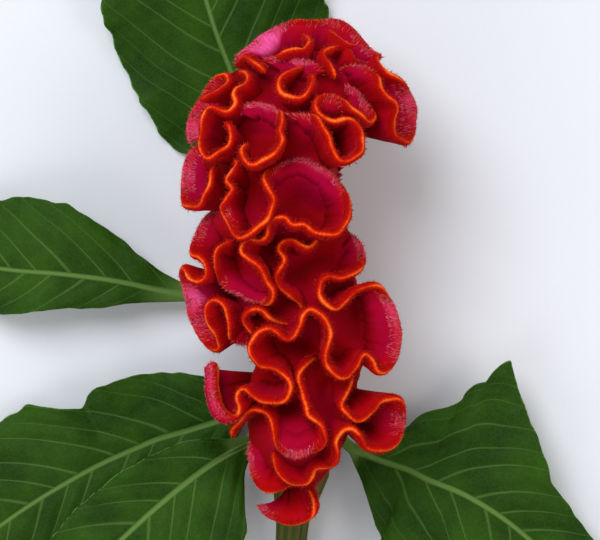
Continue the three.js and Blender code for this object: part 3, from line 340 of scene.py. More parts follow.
def length_property(name, description, millimetres):
    return FloatProperty(name=name, description=description, unit="LENGTH", precision=5,
                         min=0, default=millimetres * MM)


# Settings


class CockscombCrest(PropertyGroup):
    """Sizes and colours of the crested head."""

    wall: length_property("Wall half thickness", "Half the thickness of the folded sheet", 0.95)
    rim: length_property("Rim half thickness", "Half the thickness of the growing edge", 1.1)
    step: length_property("Step along the rim", "Distance between the columns of the sheet", 0.66)
    ruffle: length_property("Ruffle", "How far the fine pleats of the sheet stand out", 0.22)
    tip: length_property("Tip length", "Length of the bract tips that fringe the rim", 1.0)
    tip_gap: length_property("Tip gap", "Distance between neighbouring tips of the fringe", 0.17)
    floret: length_property("Floret length", "Length of the bract scales on the fan", 2.6)
    floret_gap: length_property("Floret gap", "Distance between neighbouring scales", 1.9)
    edge_colour: colour_property("Edge", "Bright growing edge", "#e45214")
    rim_colour: colour_property("Rim", "Red sides of the growing edge", "#a00402")
    wall_colour: colour_property("Wall", "Crimson of the sheet's walls", "#9e000b")
    # The magenta is partly the tissue's tone and partly painted sheen where the sheet curls over.
    bloom_colour: colour_property("Bloom", "Magenta cast in the middle of the walls", "#9a002e")
    # The maroon of the hollows is partly painted shade at the bottom of the folds.
    hollow_shade_colour: colour_property("Hollow", "Maroon at the bottom of the folds", "#5e0003")
    # Partly the pink of the hairs, partly a painted highlight on the curled faces.
    hair_and_highlight_colour: colour_property("Hairs", "Pink light on the hairy, curled parts", "#f0589a")


class CockscombGreens(PropertyGroup):
    """Sizes and colours of the stem and the leaves."""

    blade: length_property("Blade half thickness", "Half the thickness of a leaf blade", 0.35)
    stalk: length_property("Stalk half thickness", "Half the thickness of a leaf stalk", 1.3)
    vein_gap: length_property("Vein gap", "Distance between side veins along the midrib", 8.5)
    quilt: length_property("Quilting", "How far the blade bulges between its veins", 0.5)
    ribs: IntProperty(name="Ribs", description="Ribs round the stem", default=11, min=3)
    leaf_colour: colour_property("Leaf", "Upper side of the leaves", "#294b09")
    shade_colour: colour_property("Leaf shade", "Darker patches of the leaves", "#193605")
    vein_colour: colour_property("Vein", "Midribs and side veins", "#587636")
    under_colour: colour_property("Underside", "Paler underside of the leaves", "#6f9a56")
    stem_colour: colour_property("Stem", "Fresh stem", "#2b3f08")
    blush_colour: colour_property("Blush", "Red flush along the stem's ribs", "#a8483f")


class CockscombStage(PropertyGroup):
    """Camera and floor."""

    view_width: length_property("View width", "Width seen by the camera at the height of the rims", 150)
    rim_height: length_property("Rim height", "Height of the rims above the surface", 45)
    distance: length_property("Distance", "From the camera to the rims", 900)
    floor_colour: colour_property("Floor", "Pale surface that the bloom lies on", "#d9dadc")


# Curves and surfaces, in millimetres


def smoothstep(value, low, high):
    """Climbs softly from 0 at low to 1 at high."""
    share = np.clip((value - low) / (high - low), 0, 1)
    return share * share * (3 - 2 * share)


def stacked(*values):
    """The values side by side on a last axis, each spread over the whole grid."""
    return np.stack(np.broadcast_arrays(*values), axis=-1)


def curve_at(points, place):
    """Points of a smooth curve through the given ones, at place 0 for the first, 1 for the next."""
    ends = np.vstack([2 * points[0] - points[1], points, 2 * points[-1] - points[-2]])
    index = np.minimum(place.astype(int), len(points) - 2)
    share = (place - index)[:, None]
    a, b, c, d = (ends[index + k] for k in range(4))
    ab, bc, cd = (np.sum((q - p) ** 2, axis=1, keepdims=True) ** 0.25
                  for p, q in ((a, b), (b, c), (c, d)))
    start = ((b - a) / ab - (c - a) / (ab + bc) + (c - b) / bc) * bc
    end = ((c - b) / bc - (d - b) / (bc + cd) + (d - c) / cd) * bc
    return (b + start * share + (3 * (c - b) - 2 * start - end) * share ** 2
            + (2 * (b - c) + start + end) * share ** 3)


def distance_along(points):
    steps = np.linalg.norm(np.diff(points, axis=0), axis=1)
    return np.concatenate([[0], np.cumsum(steps)])


def blur(values, spacing, reach):
    """Averages a row of values over their neighbours within about reach."""
    half = max(1, round(2.5 * reach / spacing))
    weights = np.exp(-0.5 * (np.arange(-half, half + 1) * spacing / reach) ** 2)
    padded = np.pad(values, [(half, half)] + [(0, 0)] * (values.ndim - 1), mode="edge")
    rows = [padded[k:k + len(values)] * weight for k, weight in enumerate(weights)]
    return sum(rows) / weights.sum()


def unit(vectors):
    return vectors / np.maximum(np.linalg.norm(vectors, axis=-1, keepdims=True), 1e-9)


def wander(along, seed, pitches):
    """A smooth irregular wave between about -1 and 1."""
    phases = np.random.default_rng(seed).uniform(0, 2 * math.pi, len(pitches))
    waves = [np.sin(2 * math.pi * along / pitch + phase) for pitch, phase in zip(pitches, phases)]
    return sum(waves) / len(pitches)


def core_at(y):
    """Middle x, half width, top, underside and height of the widest place of the core at y."""
    stations = np.array(CORE_STATIONS, float)
    x, half, top, underside = (np.interp(y, stations[:, 0], stations[:, k]) for k in (1, 2, 3, 4))
    return x, half, top, underside, underside + (top - underside) * CORE_WIDEST_SHARE


def core_surface(y, angle, scale=1.0):
    """Points of the core's skin. The angle is 0 at the top and grows towards +X."""
    x, half, top, underside, middle = core_at(y)
    height = np.where(np.cos(angle) > 0, top - middle, middle - underside)
    return stacked(x + scale * half * np.sin(angle), y, middle + scale * height * np.cos(angle))


class Fold:
    """One ridge of the crest: its rim, the sheet below it and the directions across it."""

    # Rows from foot to rim, crowded towards the rim by this power, and rings round the rim's bead.
    ROWS = 15
    ROW_CROWDING = 1.3
    ARC = 5
    FINE_STEPS = 8
    FEWEST_COLUMNS = 12
    CURL_SMOOTHING = 1.2
    # The foot follows the averaged line of the rim with a little of its detail, drawn towards the
    # middle of the bloom. It stands in the fan, and wraps round it by this angle at the head's side.
    ROOT_SMOOTHING = 7
    ROOT_DETAIL = 0.12
    ROOT_REACH_ALONG = 0.87
    ROOT_DEPTH = 0.8
    ROOT_WRAP = 110
    HEAD_HALF_WIDTH = 30
    # Powers and shares that shape an upright lip and a rolled one between foot and rim.
    LIP_BEND = 1.9
    LIP_SWING = 0.6
    LIP_RISE = 1.15
    ROLLED_FLARE = 1.7
    ROLLED_RISE = 1.9
    # How far the upper half of a sheet bellies out, and how much more where its rim is tucked in.
    LIP_BELLY = 0.3
    TUCKED_BELLY = 5.5
    BELLY_SOFTNESS = 3
    # A rolled lip is drawn in, and drops from this row up to the rim.
    LIP_INSET = 1.1
    ROLL_START = 0.7
    ROLL_DROP = 3.5
    # Both ends of a fold are drawn in between foot and rim, towards the column this far along.
    END_PULL = 2.6
    END_REACH = 6
    END_COLUMNS = 4
    # The sheet swells to its rim from this row, and is thinner in bends measured over this length.
    SWELL_START = 0.8
    BEND_SPAN = 1.6
    BEND_CLEARANCE = 0.6
    SMALLEST_HALF_THICKNESS = 0.35
    # Lengths of the waves of the fine pleats, of the sheet's sway and of the rim's rise and fall.
    RUFFLES = ((2.1, 3.1, 4.7), (5.3, 7.9), (2.7, 4.3, 6.1))
    # This far below the rim the painted shade is deepest. The bright line fades out at the ends of a fold.
    DEEPEST_SHADE = 15
    END_FADE = 0.9
    END_FADE_REACH = 1.3

    def __init__(self, points, step, seed, root_shift=0):
        points = np.array(points, float)
        count = (len(points) - 1) * self.FINE_STEPS
        place = np.linspace(0, len(points) - 1, count + 1)
        fine = curve_at(points[:, :3], place)
        reach = distance_along(fine)
        columns = max(self.FEWEST_COLUMNS, round(reach[-1] / step))
        self.along = np.linspace(0, reach[-1], columns + 1)
        self.to_end = np.minimum(self.along, self.along[-1] - self.along)
        self.spacing = self.along[1]
        self.rim = np.column_stack([np.interp(self.along, reach, fine[:, k]) for k in range(3)])
        curl = np.interp(place, range(len(points)), points[:, 3])
        self.curl = blur(np.interp(self.along, reach, curl), self.spacing, self.CURL_SMOOTHING)
        self.rolled = np.clip(self.curl, 0, 1)
        inward = self.smoothed_rim() - self.rim[:, :2]
        inward /= np.sqrt(np.sum(inward ** 2, axis=1, keepdims=True) + 1)
        self.rim[:, :2] += self.LIP_INSET * self.rolled[:, None] * inward
        self.root_shift = root_shift
        self.seed = seed
        self.rows = 1 - (1 - np.linspace(0, 1, self.ROWS)) ** self.ROW_CROWDING
        self.sheet = self.sheet_points()

    def smoothed_rim(self):
        """The rim seen from above, with its bends averaged away."""
        gaps = (self.along[:, None] - self.along[None, :]) / self.ROOT_SMOOTHING
        weights = np.exp(-0.5 * gaps ** 2)
        return weights @ self.rim[:, :2] / weights.sum(axis=1, keepdims=True)

    def roots(self):
        """The line inside the fan where the foot of the sheet stands."""
        middle = self.smoothed_rim()
        middle += (self.rim[:, :2] - middle) * self.ROOT_DETAIL
        y = middle[:, 1] * self.ROOT_REACH_ALONG + self.root_shift
        across = np.clip((middle[:, 0] - core_at(y)[0]) / self.HEAD_HALF_WIDTH, -1, 1)
        return core_surface(y, np.radians(across * self.ROOT_WRAP), self.ROOT_DEPTH)

    def sheet_points(self):
        """Middle surface of the sheet: one column per step, one row from root to rim."""
        root = self.roots()[:, None, :]
        reach = self.rim[:, None, :] - root
        rows = self.rows[None, :]
        rolled = self.rolled[:, None]
        upright = rows ** self.LIP_BEND * (1 + self.LIP_SWING * (1 - rows))
        flare = upright + (rows ** self.ROLLED_FLARE - upright) * rolled
        rise = 1 - (1 - rows) ** (self.LIP_RISE + (self.ROLLED_RISE - self.LIP_RISE) * rolled)
        sheet = root + reach * flare[:, :, None]
        level = reach * (1, 1, 0)
        level /= np.sqrt(np.sum(level ** 2, axis=-1, keepdims=True) + self.BELLY_SOFTNESS ** 2)
        belly = self.LIP_BELLY + self.TUCKED_BELLY * np.clip(-self.curl, 0, 1)[:, None]
        sheet += level * (belly * np.sin(math.pi * np.clip(2 * rows - 1, 0, 1)))[:, :, None]
        roll = smoothstep(rows, self.ROLL_START, 1) * self.ROLL_DROP
        sheet[:, :, 2] = root[:, :, 2] + reach[:, :, 2] * rise - rolled * roll
        bow = (4 * self.rows * (1 - self.rows))[None, :, None] * self.END_PULL
        both = ((0, self.END_COLUMNS, self.along),
                (-1, -1 - self.END_COLUMNS, self.along[-1] - self.along))
        for end, inner, to_end in both:
            inward = unit(self.rim[inner] - self.rim[end])
            sheet += np.exp(-(to_end / self.END_REACH) ** 2)[:, None, None] * inward * bow
        return sheet

    def frames(self):
        """Directions up the sheet and out of it at each of its points."""
        along = unit(blur(np.gradient(self.sheet, axis=0), self.spacing, 0.5))
        up = unit(np.gradient(self.sheet, self.rows, axis=1))
        return up, unit(np.cross(along, up))

    def half_thickness(self, sheet, wall, rim):
        """Half the thickness of the wall, swelling to the rim and less inside tight bends."""
        hop = max(1, round(self.BEND_SPAN / self.spacing))
        ends = np.pad(sheet, [(hop, hop), (0, 0), (0, 0)], mode="edge")
        before = ends[hop:-hop] - ends[:-2 * hop]
        after = ends[2 * hop:] - ends[hop:-hop]
        chord = (np.linalg.norm(before, axis=-1) + np.linalg.norm(after, axis=-1)) / 2
        turn = np.arccos(np.clip(np.sum(unit(before) * unit(after), axis=-1), -1, 1))
        radius = chord / np.maximum(turn, 1e-3)
        # The ends have no bend to measure, so they count as nearly straight.
        radius[:hop] = radius[-hop:] = chord.max() * 10
        full = wall + (rim - wall) * smoothstep(self.rows, self.SWELL_START, 1)[None, :]
        half = np.clip(self.BEND_CLEARANCE * radius, self.SMALLEST_HALF_THICKNESS, full)
        half = blur(half, self.spacing, 1.0)
        half *= np.sqrt(np.clip(self.to_end / rim, 0, 1))[:, None]
        half[:, 0] = 0
        return half

    def skin(self, wall, rim, ruffle):
        """Closed skin: up the front, over the rim and down the back, with its attributes."""
        up, out = self.frames()
        pleats, sway, heave = (wander(self.along, self.seed + number, pitches)
                               for number, pitches in enumerate(self.RUFFLES))
        swell = np.sin(math.pi * self.rows)[None, :] ** 0.7 * ruffle
        shift = pleats[:, None] * swell + sway[:, None] * self.rows[None, :] ** 3 * ruffle
        sheet = self.sheet + out * shift[:, :, None]
        sheet[:, -1, 2] += heave * ruffle
        half = self.half_thickness(sheet, wall, rim)
        arc = np.radians(90 * np.arange(1, self.ARC + 1) / self.ARC)
        bead = half[:, -1]

        def side(sign):
            flat = sheet + sign * out * half[:, :, None]
            rim_out = sign * out[:, -1][:, None, :] * np.cos(arc)[None, :, None]
            rim_up = up[:, -1][:, None, :] * np.sin(arc)[None, :, None]
            over = sheet[:, -1][:, None, :] + bead[:, None, None] * (rim_out + rim_up)
            return np.concatenate([flat, over], axis=1)

        front, back = side(1), side(-1)
        back[:, -1] = front[:, -1]
        places = np.concatenate([front, back[:, ::-1]], axis=1)
        edge = np.concatenate([self.edge_distance(front), self.edge_distance(back)[:, ::-1]], axis=1)
        # The depth below the rim sets the painted shade of the walls.
        depth = np.clip(1 - edge / self.DEEPEST_SHADE, 0, 1)
        edge = edge + self.END_FADE * np.exp(-(self.to_end[:, None] / self.END_FADE_REACH) ** 2)
        sign = np.where(np.arange(edge.shape[1]) < edge.shape[1] / 2, 1, -1)[None, :]
        flow = stacked(self.along[:, None], edge * sign, self.seed)
        return places, flow, stacked(edge, depth, self.curl[:, None])

    @staticmethod
    def edge_distance(points):
        """Distance of each point from the middle of the rim, down one side."""
        steps = np.linalg.norm(np.diff(points, axis=1), axis=-1)
        down = np.cumsum(steps[:, ::-1], axis=1)[:, ::-1]
        return np.concatenate([down, np.zeros((len(points), 1))], axis=1)


def crest_folds(step):
    return [Fold(points, step, 10 * number + 1, ROOT_SHIFTS.get(name, 0))
            for number, (name, points) in enumerate(RIDGES.items())]


class LeafForm:
    """Surface of one leaf: its stalk, midrib, side veins and waved margins."""

    ALONG = 240
    ACROSS = 88
    MARGIN_CROWDING = 0.4
    # The blade rises by this much to its margins. Their waves fade towards the midrib by this
    # power, and those on the right are shifted by this angle.
    TROUGH = 1.2
    WAVE_GROWTH = 1.5
    WAVE_OFFSET = 1.9
    # Lengths of the fine waves at the margins, how far they slant, and the power by which they fade
    # towards the midrib. They lift the margin, and move it by a share of the half width.
    RIPPLES = (5.1, 7.3, 11.0)
    RIPPLE_SLANT = 3
    RIPPLE_FADE = 4
    RIPPLE_HEIGHT = 0.45
    RIPPLE_SHARE = 0.02
    # The blade begins at the first half width, and is there in full at the second.
    STALK_WIDTH = 2.5
    BLADE_WIDTH = 10
    # The midrib stands out below by this much at the stalk. The stalk is sunk into the stem.
    MIDRIB = 1.1
    MIDRIB_WIDTH = 1.3
    SEAT_DEPTH = 1.3
    END_ROUNDING = 1.2
    # Above the midrib runs a groove of this depth, this wide at the tip and wider at the stalk.
    GROOVE_DEPTH = 0.3
    GROOVE_WIDTH = 0.35
    GROOVE_WIDENING = 0.75
    # Side veins slant forwards, bend on that way towards the margin, and are set off on the left by
    # this share of a gap. No two gaps are quite the same.
    VEIN_SLANT = 0.95
    VEIN_BEND = 0.35
    VEIN_OFFSET = 0.45
    VEIN_UNEVENNESS = 0.13
    # They come in between these distances along the midrib. The blade bulges between them, and
    # that begins and ends between these shares of the half width.
    VEINS_BEGIN = (14, 20)
    QUILT_BEGINS = (0.04, 0.25)
    QUILT_ENDS = (0.8, 1)

    def __init__(self, leaf, seed, greens):
        self.leaf = leaf
        self.seed = seed
        self.greens = greens
        stations = np.array(leaf["stations"], float)
        self.share = np.linspace(0, 1, self.ALONG + 1)
        place = self.share * (len(stations) - 1)
        self.midrib = curve_at(stations[:, :3], place)
        heading = np.gradient(self.midrib, axis=0)
        heading[:, 2] = 0
        heading = unit(heading)
        self.across = np.column_stack([-heading[:, 1], heading[:, 0], 0 * self.share])
        self.reach = distance_along(self.midrib)
        self.midrib[0] -= heading[0] * self.SEAT_DEPTH
        widths = [np.interp(place, range(len(stations)), stations[:, k]) for k in (4, 3)]
        self.widths = [blur(width, self.share[1], 0.008) for width in widths]

    def skin(self):
        """Closed skin: over the upper side and back under the lower one, with its attributes."""
        even = np.linspace(-1, 1, self.ACROSS + 1)[None, :]
        column = even + (np.sin(even * math.pi / 2) - even) * self.MARGIN_CROWDING
        side = np.abs(column)
        width = np.where(column < 0, self.widths[0][:, None], self.widths[1][:, None])
        share = self.share[:, None]
        reach = self.reach[:, None]
        blade = smoothstep(width, self.STALK_WIDTH, self.BLADE_WIDTH)
        slanted = reach + self.RIPPLE_SLANT * column
        ripple = wander(slanted, self.seed, self.RIPPLES) * side ** self.RIPPLE_FADE
        width = width * (1 + self.RIPPLE_SHARE * ripple * blade)
        away = side * width
        offset = np.where(column > 0, 0, self.WAVE_OFFSET)
        wave = np.sin(2 * math.pi * self.leaf["waves"] * share + self.leaf["phase"] + offset)
        lift = blade * (self.TROUGH * side + self.leaf["swell"] * wave * side ** self.WAVE_GROWTH)
        lift += blade * self.RIPPLE_HEIGHT * ripple

        phase = self.vein_phase(reach, away, width, column)
        groove_width = self.GROOVE_WIDTH + self.GROOVE_WIDENING * (1 - share)
        groove = np.exp(-(away / groove_width) ** 2)
        bulge = 0.5 - 0.5 * np.cos(2 * math.pi * phase)
        fade = smoothstep(side, *self.QUILT_BEGINS) * (1 - smoothstep(side, *self.QUILT_ENDS))
        lift += blade * (self.greens.quilt / MM * bulge * fade - self.GROOVE_DEPTH * groove)

        # Only the first half of a leaf can be stalk, as its tip is narrow too.
        stalk = np.where(share < 0.5, 1 - smoothstep(width, self.STALK_WIDTH / 2, 2 * self.STALK_WIDTH), 0)
        # The blade keeps its thickness almost to the margin, where it is rounded off.
        thin = self.greens.blade / MM * (1 - side ** 10) ** 0.5
        below = thin + self.MIDRIB * (1 - share) * np.exp(-(away / self.MIDRIB_WIDTH) ** 2)
        round_half = self.greens.stalk / MM * np.sqrt(1 - column ** 2)
        to_end = np.minimum(reach, reach[-1] - reach)
        close = np.sqrt(np.clip(to_end / self.END_ROUNDING, 0, 1))
        top_half, low_half = ((half + (round_half - half) * stalk) * close for half in (thin, below))

        places = self.midrib[:, None, :] + self.across[:, None, :] * (column * width)[:, :, None]
        middle = np.maximum(places[:, :, 2] + lift, low_half)
        top, low = places.copy(), places.copy()
        top[:, :, 2] = middle + top_half
        low[:, :, 2] = middle - low_half
        bare = 1 - smoothstep(reach, *self.VEINS_BEGIN) * blade
        upper = stacked(phase, np.maximum(side, bare), stalk)
        # The shader knows the underside by a stalk value that is 2 lower.
        lower = upper[:, ::-1] - (0, 0, 2)
        # The third value sets the noise of each leaf apart.
        flow = stacked(reach, column * width, 40.0 * self.seed)
        return [np.concatenate(pair, axis=1)
                for pair in ((top, low[:, ::-1]), (flow, flow[:, ::-1]), (upper, lower))]

    def vein_phase(self, reach, away, width, column):
        """Where each point lies among the side veins: a whole number on a vein."""
        curved = away * self.VEIN_SLANT + self.VEIN_BEND * away ** 2 / np.maximum(width, 1)
        shifted = np.where(column > 0, self.VEIN_OFFSET, 0)
        phase = (reach - curved) / (self.greens.vein_gap / MM) + shifted
        return phase + self.VEIN_UNEVENNESS * np.sin(2.3 * phase + self.seed)


# Mesh making


def new_skin():
    """An empty bmesh whose points carry where they lie on the surface and how they are tinted."""
    made = bmesh.new()
    made.verts.layers.float_vector.new("flow")
    made.verts.layers.float_vector.new("tint")
    return made


def add_grid(made, places, flow, tint):
    """Lays a grid over rows of places in mm, then joins the points that fall together."""
    columns, rows = places.shape[0] - 1, places.shape[1] - 1
    grid = bmesh.ops.create_grid(made, x_segments=columns, y_segments=rows, size=1)["verts"]
    flow_layer = made.verts.layers.float_vector["flow"]
    tint_layer = made.verts.layers.float_vector["tint"]
    for vert in grid:
        spot = round((vert.co.x + 1) * columns / 2), round((vert.co.y + 1) * rows / 2)
        vert.co = places[spot] * MM
        vert[flow_layer] = flow[spot]
        vert[tint_layer] = tint[spot]
    bmesh.ops.remove_doubles(made, verts=grid, dist=JOIN)


def finish_piece(made, name, material, nodes=()):
    """Turns a closed bmesh into a piece, with its faces pointing out."""
    bmesh.ops.recalc_face_normals(made, faces=made.faces)
    mesh = bpy.data.meshes.new(name)
    made.to_mesh(mesh)
    made.free()
    place_piece(mesh, name, material, nodes)


def place_piece(mesh, name, material, nodes=()):
    """Makes a smooth piece that rides on the bloom and stands for the named nodes."""
    mesh.materials.append(material)
    mesh.polygons.foreach_set("use_smooth", [True] * len(mesh.polygons))
    piece = bpy.data.objects.new(name, mesh)
    bpy.context.scene.collection.objects.link(piece)
    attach(piece, "root")
    if nodes:
        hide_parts(*nodes)


def pointed_tip(sides):
    """A thin cone of length 1 along Z with its base at the origin."""
    made = bmesh.new()
    bmesh.ops.create_cone(made, cap_ends=True, segments=sides, radius1=1, radius2=0, depth=1)
    bmesh.ops.translate(made, verts=made.verts, vec=(0, 0, 0.5))
    bmesh.ops.triangulate(made, faces=made.faces)
    return made


def scatter(template, name, bases, directions, sides, lengths, widths, depths, tones):
    """One mesh with a copy of the template at each base, along its direction. All in mm."""
    points = np.array([vert.co for vert in template.verts])
    faces = np.array([[vert.index for vert in face.verts] for face in template.faces])
    template.free()
    directions = unit(directions)
    across = unit(np.cross(directions, sides))
    through = np.cross(across, directions)
    places = bases[:, None, :]
    for k, (axis, size) in enumerate(((across, widths), (through, depths), (directions, lengths))):
        places = places + points[None, :, k, None] * (axis * size[:, None])[:, None, :]
    starts = np.arange(len(bases))[:, None, None] * len(points)
    mesh = bpy.data.meshes.new(name)
    mesh.from_pydata((places.reshape(-1, 3) * MM).tolist(), [], (faces + starts).reshape(-1, 3).tolist())
    tone = mesh.attributes.new("tone", "FLOAT_VECTOR", "POINT")
    tone.data.foreach_set("vector", stacked(tones[:, None], points[None, :, 2], 0).ravel())
    return mesh


# Materials


def fill_socket(tree, socket, value):
    """Feeds a socket from the output socket given, or sets its value. A colour gets its alpha."""
    if isinstance(value, bpy.types.NodeSocket):
        tree.links.new(value, socket)
    else:
        socket.default_value = shader_colour(value) if socket.type == "RGBA" else value


def add_node(tree, kind, inputs=(), stops=(), out=0, **settings):
    """Adds a node with its settings and links, and returns its output socket out.

    The inputs are a list in the node's own order, or a dict by number or name.
    """
    node = tree.nodes.new(kind)
    for name, value in settings.items():
        setattr(node, name, value)
    named = inputs if isinstance(inputs, dict) else dict(enumerate(inputs))
    for name, value in named.items():
        fill_socket(tree, node.inputs[name], value)
    if stops:
        elements = node.color_ramp.elements
        while len(elements) < len(stops):
            elements.new(1)
        for element, (place, colour) in zip(elements, stops):
            element.position = place
            element.color = shader_colour(colour)
    return node.outputs[out]


def new_material(name, **shader_inputs):
    """A material with one Principled shader, whose plain values are set on its own sockets."""
    material = bpy.data.materials.new(name)
    material.use_nodes = True
    tree = material.node_tree
    shader = tree.nodes["Principled BSDF"]
    for socket, value in shader_inputs.items():
        fill_socket(tree, shader.inputs[socket.replace("_", " ")], value)
    return material, tree, shader


def surface_fields(tree):
    """Where a point lies on its surface, in mm, and the three values that tint it there."""
    flow = add_node(tree, "ShaderNodeAttribute", out="Vector", attribute_name="flow")
    tint = add_node(tree, "ShaderNodeAttribute", out="Vector", attribute_name="tint")
    return flow, *add_node(tree, "ShaderNodeSeparateXYZ", [tint]).node.outputs


def petal_tissue(crest):
    """Cockscomb petal tissue, grown as one thin sheet of crowded tiny flowers.

    It is matt and velvety: no gloss, a soft sheen at grazing angles and some light through it.
    """
    material, tree, shader = new_material(
        "Cockscomb petal tissue", Roughness=0.8, IOR=1.42, Sheen_Weight=0.04, Sheen_Roughness=0.4,
        Sheen_Tint="#ff5a5a", Subsurface_Weight=0.15, Subsurface_Scale=0.0015,
        Subsurface_Radius=(1.0, 0.1, 0.05), Specular_IOR_Level=0.06)
    flow, edge, depth, curl = surface_fields(tree)
    # Fibres 0.45 mm apart run from root to rim, so the noise is drawn out that way.
    drawn = add_node(tree, "ShaderNodeMapping", {"Vector": flow, "Scale": (2.2, 0.22, 1)})
    fibres = add_node(tree, "ShaderNodeTexNoise", {
        "Vector": drawn, "Scale": 1.0, "Detail": 3.0, "Roughness": 0.6})
    # Broad patches about 12 mm across, where the walls turn from crimson to magenta.
    place = add_node(tree, "ShaderNodeTexCoord", out="Object")
    patches = add_node(tree, "ShaderNodeTexNoise", {"Vector": place, "Scale": 85.0, "Detail": 2.0})
    # Grains of 0.4 mm roughen the velvet. The real ones are finer, and wouldn't show.
    fuzz = add_node(tree, "ShaderNodeTexNoise", {"Vector": place, "Scale": 2600.0, "Detail": 2.0})

    # From the hollow at depth 0 to the rim at 1 the walls turn from maroon to crimson and red: partly
    # the tissue's own colour, and partly painted shade that deepens down into the folds.
    walls = add_node(tree, "ShaderNodeValToRGB", [depth], stops=[
        (0.0, crest.hollow_shade_colour), (0.3, "#7e0005"), (0.48, "#900006"),
        (0.66, crest.wall_colour), (0.84, "#aa0406"), (1.0, crest.rim_colour)])
    band = add_node(tree, "ShaderNodeValToRGB", [depth], stops=[
        (0.3, grey(0)), (0.56, grey(1)), (0.78, grey(1)), (0.92, grey(0))])
    # The magenta is partly tone that varies in patches, and partly painted sheen that grows with the curl,
    # on the walls of folds that curl over toward the light.
    patchy = add_node(tree, "ShaderNodeMapRange", [patches, 0.42, 0.62, 0.0, 0.4])
    bent = add_node(tree, "ShaderNodeMath", [curl], operation="ABSOLUTE")
    share = add_node(tree, "ShaderNodeMath", [bent, 0.5, patchy], operation="MULTIPLY_ADD")
    magenta = add_node(tree, "ShaderNodeMath", [band, share], operation="MULTIPLY")
    wall = add_node(tree, "ShaderNodeMix", {0: magenta, 6: walls, 7: crest.bloom_colour},
                    out=2, data_type="RGBA")

    # The pink keeps within 3 mm of the edge, and goes further where the sheet curls far over. It is
    # partly the real hairs and partly a painted highlight on the curled faces that turn up to the light.
    pinkness = add_node(tree, "ShaderNodeMapRange", [bent, 0.3, 2.0, 0.0, 1.0])
    far_over = add_node(tree, "ShaderNodeMath", [pinkness, 3.0], operation="POWER")
    from_hair_and_highlight = add_node(tree, "ShaderNodeMath", [far_over, -5.0, edge], operation="MULTIPLY_ADD")
    hair_and_highlight_band = add_node(tree, "ShaderNodeMapRange", [from_hair_and_highlight, 0.8, 3.4, 1.0, 0.0],
                         interpolation_type="SMOOTHSTEP")
    streaks = add_node(tree, "ShaderNodeMapRange", [fibres, 0.35, 0.7, 0.45, 1.2])
    # The streaked pink is partly the real hairs and partly painted highlight.
    hairy = add_node(tree, "ShaderNodeMath", [hair_and_highlight_band, streaks], operation="MULTIPLY")
    curled = add_node(tree, "ShaderNodeMath", [hairy, pinkness], operation="MULTIPLY", use_clamp=True)
    # The pink of the hairs grows with the curl, partly as a painted highlight.
    hairs = add_node(tree, "ShaderNodeMix", {0: far_over, 6: "#dc3450", 7: crest.hair_and_highlight_colour},
                     out=2, data_type="RGBA")
    with_hair_and_highlight = add_node(tree, "ShaderNodeMix", {0: curled, 6: wall, 7: hairs}, out=2, data_type="RGBA")

    # The edge's line swells and dims about every 9 mm, and the fibres fray it by about 0.5 mm.
    drawn_out = add_node(tree, "ShaderNodeMapping", {"Vector": flow, "Scale": (0.11, 0.0, 1)})
    pulse = add_node(tree, "ShaderNodeTexNoise", {"Vector": drawn_out, "Scale": 1.0, "Detail": 3.0})
    swelling = add_node(tree, "ShaderNodeMapRange", [pulse, 0.3, 0.7, -0.35, 0.55])
    frayed = add_node(tree, "ShaderNodeMath", [fibres, 1.0, edge], operation="MULTIPLY_ADD")
    uneven = add_node(tree, "ShaderNodeMath", [frayed, swelling], operation="ADD")
    line = add_node(tree, "ShaderNodeMapRange", [uneven, 0.35, 3.0, 0.0, 1.0])
    # Beyond the line the rim darkens down the bead's sides: partly its own red, and partly painted shade
    # where the sides turn down into the folds.
    edges = add_node(tree, "ShaderNodeValToRGB", [line], stops=[
        (0.0, "#f2742e"), (0.1, crest.edge_colour), (0.18, "#c43204"),
        (0.27, "#ac1002"), (0.44, crest.rim_colour), (0.75, "#960008")])
    reach = add_node(tree, "ShaderNodeValToRGB", [line], stops=[
        (0.0, grey(1)), (0.45, grey(1)), (0.75, grey(0.5)), (1.0, grey(0))])
    # Where the sheet rolls over, its growing edge is tucked under and shows only faintly.
    shown = add_node(tree, "ShaderNodeMapRange", [curl, 0.5, 1.0, 1.0, 0.2])
    seen = add_node(tree, "ShaderNodeMath", [reach, shown], operation="MULTIPLY")
    colour = add_node(tree, "ShaderNodeMix", {0: seen, 6: with_hair_and_highlight, 7: edges}, out=2, data_type="RGBA")
    fill_socket(tree, shader.inputs["Base Color"], colour)

    relief = add_node(tree, "ShaderNodeMath", [fuzz, 0.35, fibres], operation="MULTIPLY_ADD")
    bump = add_node(tree, "ShaderNodeBump", {"Strength": 0.6, "Distance": 0.00035, "Height": relief})
    fill_socket(tree, shader.inputs["Normal"], bump)
    return material


def bract_skin(name, stops, tip_colour):
    """Dry, papery bracts of the tiny flowers: matt, a little paler towards their points."""
    material, tree, shader = new_material(
        name, Roughness=0.7, IOR=1.42, Specular_IOR_Level=0.15,
        Subsurface_Weight=0.1, Subsurface_Scale=0.001, Subsurface_Radius=(1.0, 0.2, 0.1))
    tones = add_node(tree, "ShaderNodeAttribute", out="Vector", attribute_name="tone")
    tone, height, _ = add_node(tree, "ShaderNodeSeparateXYZ", [tones]).node.outputs
    base = add_node(tree, "ShaderNodeValToRGB", [tone], stops=stops)
    paler = add_node(tree, "ShaderNodeMapRange", [height, 0.2, 1.0, 0.0, 0.2])
    colour = add_node(tree, "ShaderNodeMix", {0: paler, 6: base, 7: tip_colour}, out=2, data_type="RGBA")
    fill_socket(tree, shader.inputs["Base Color"], colour)
    return material


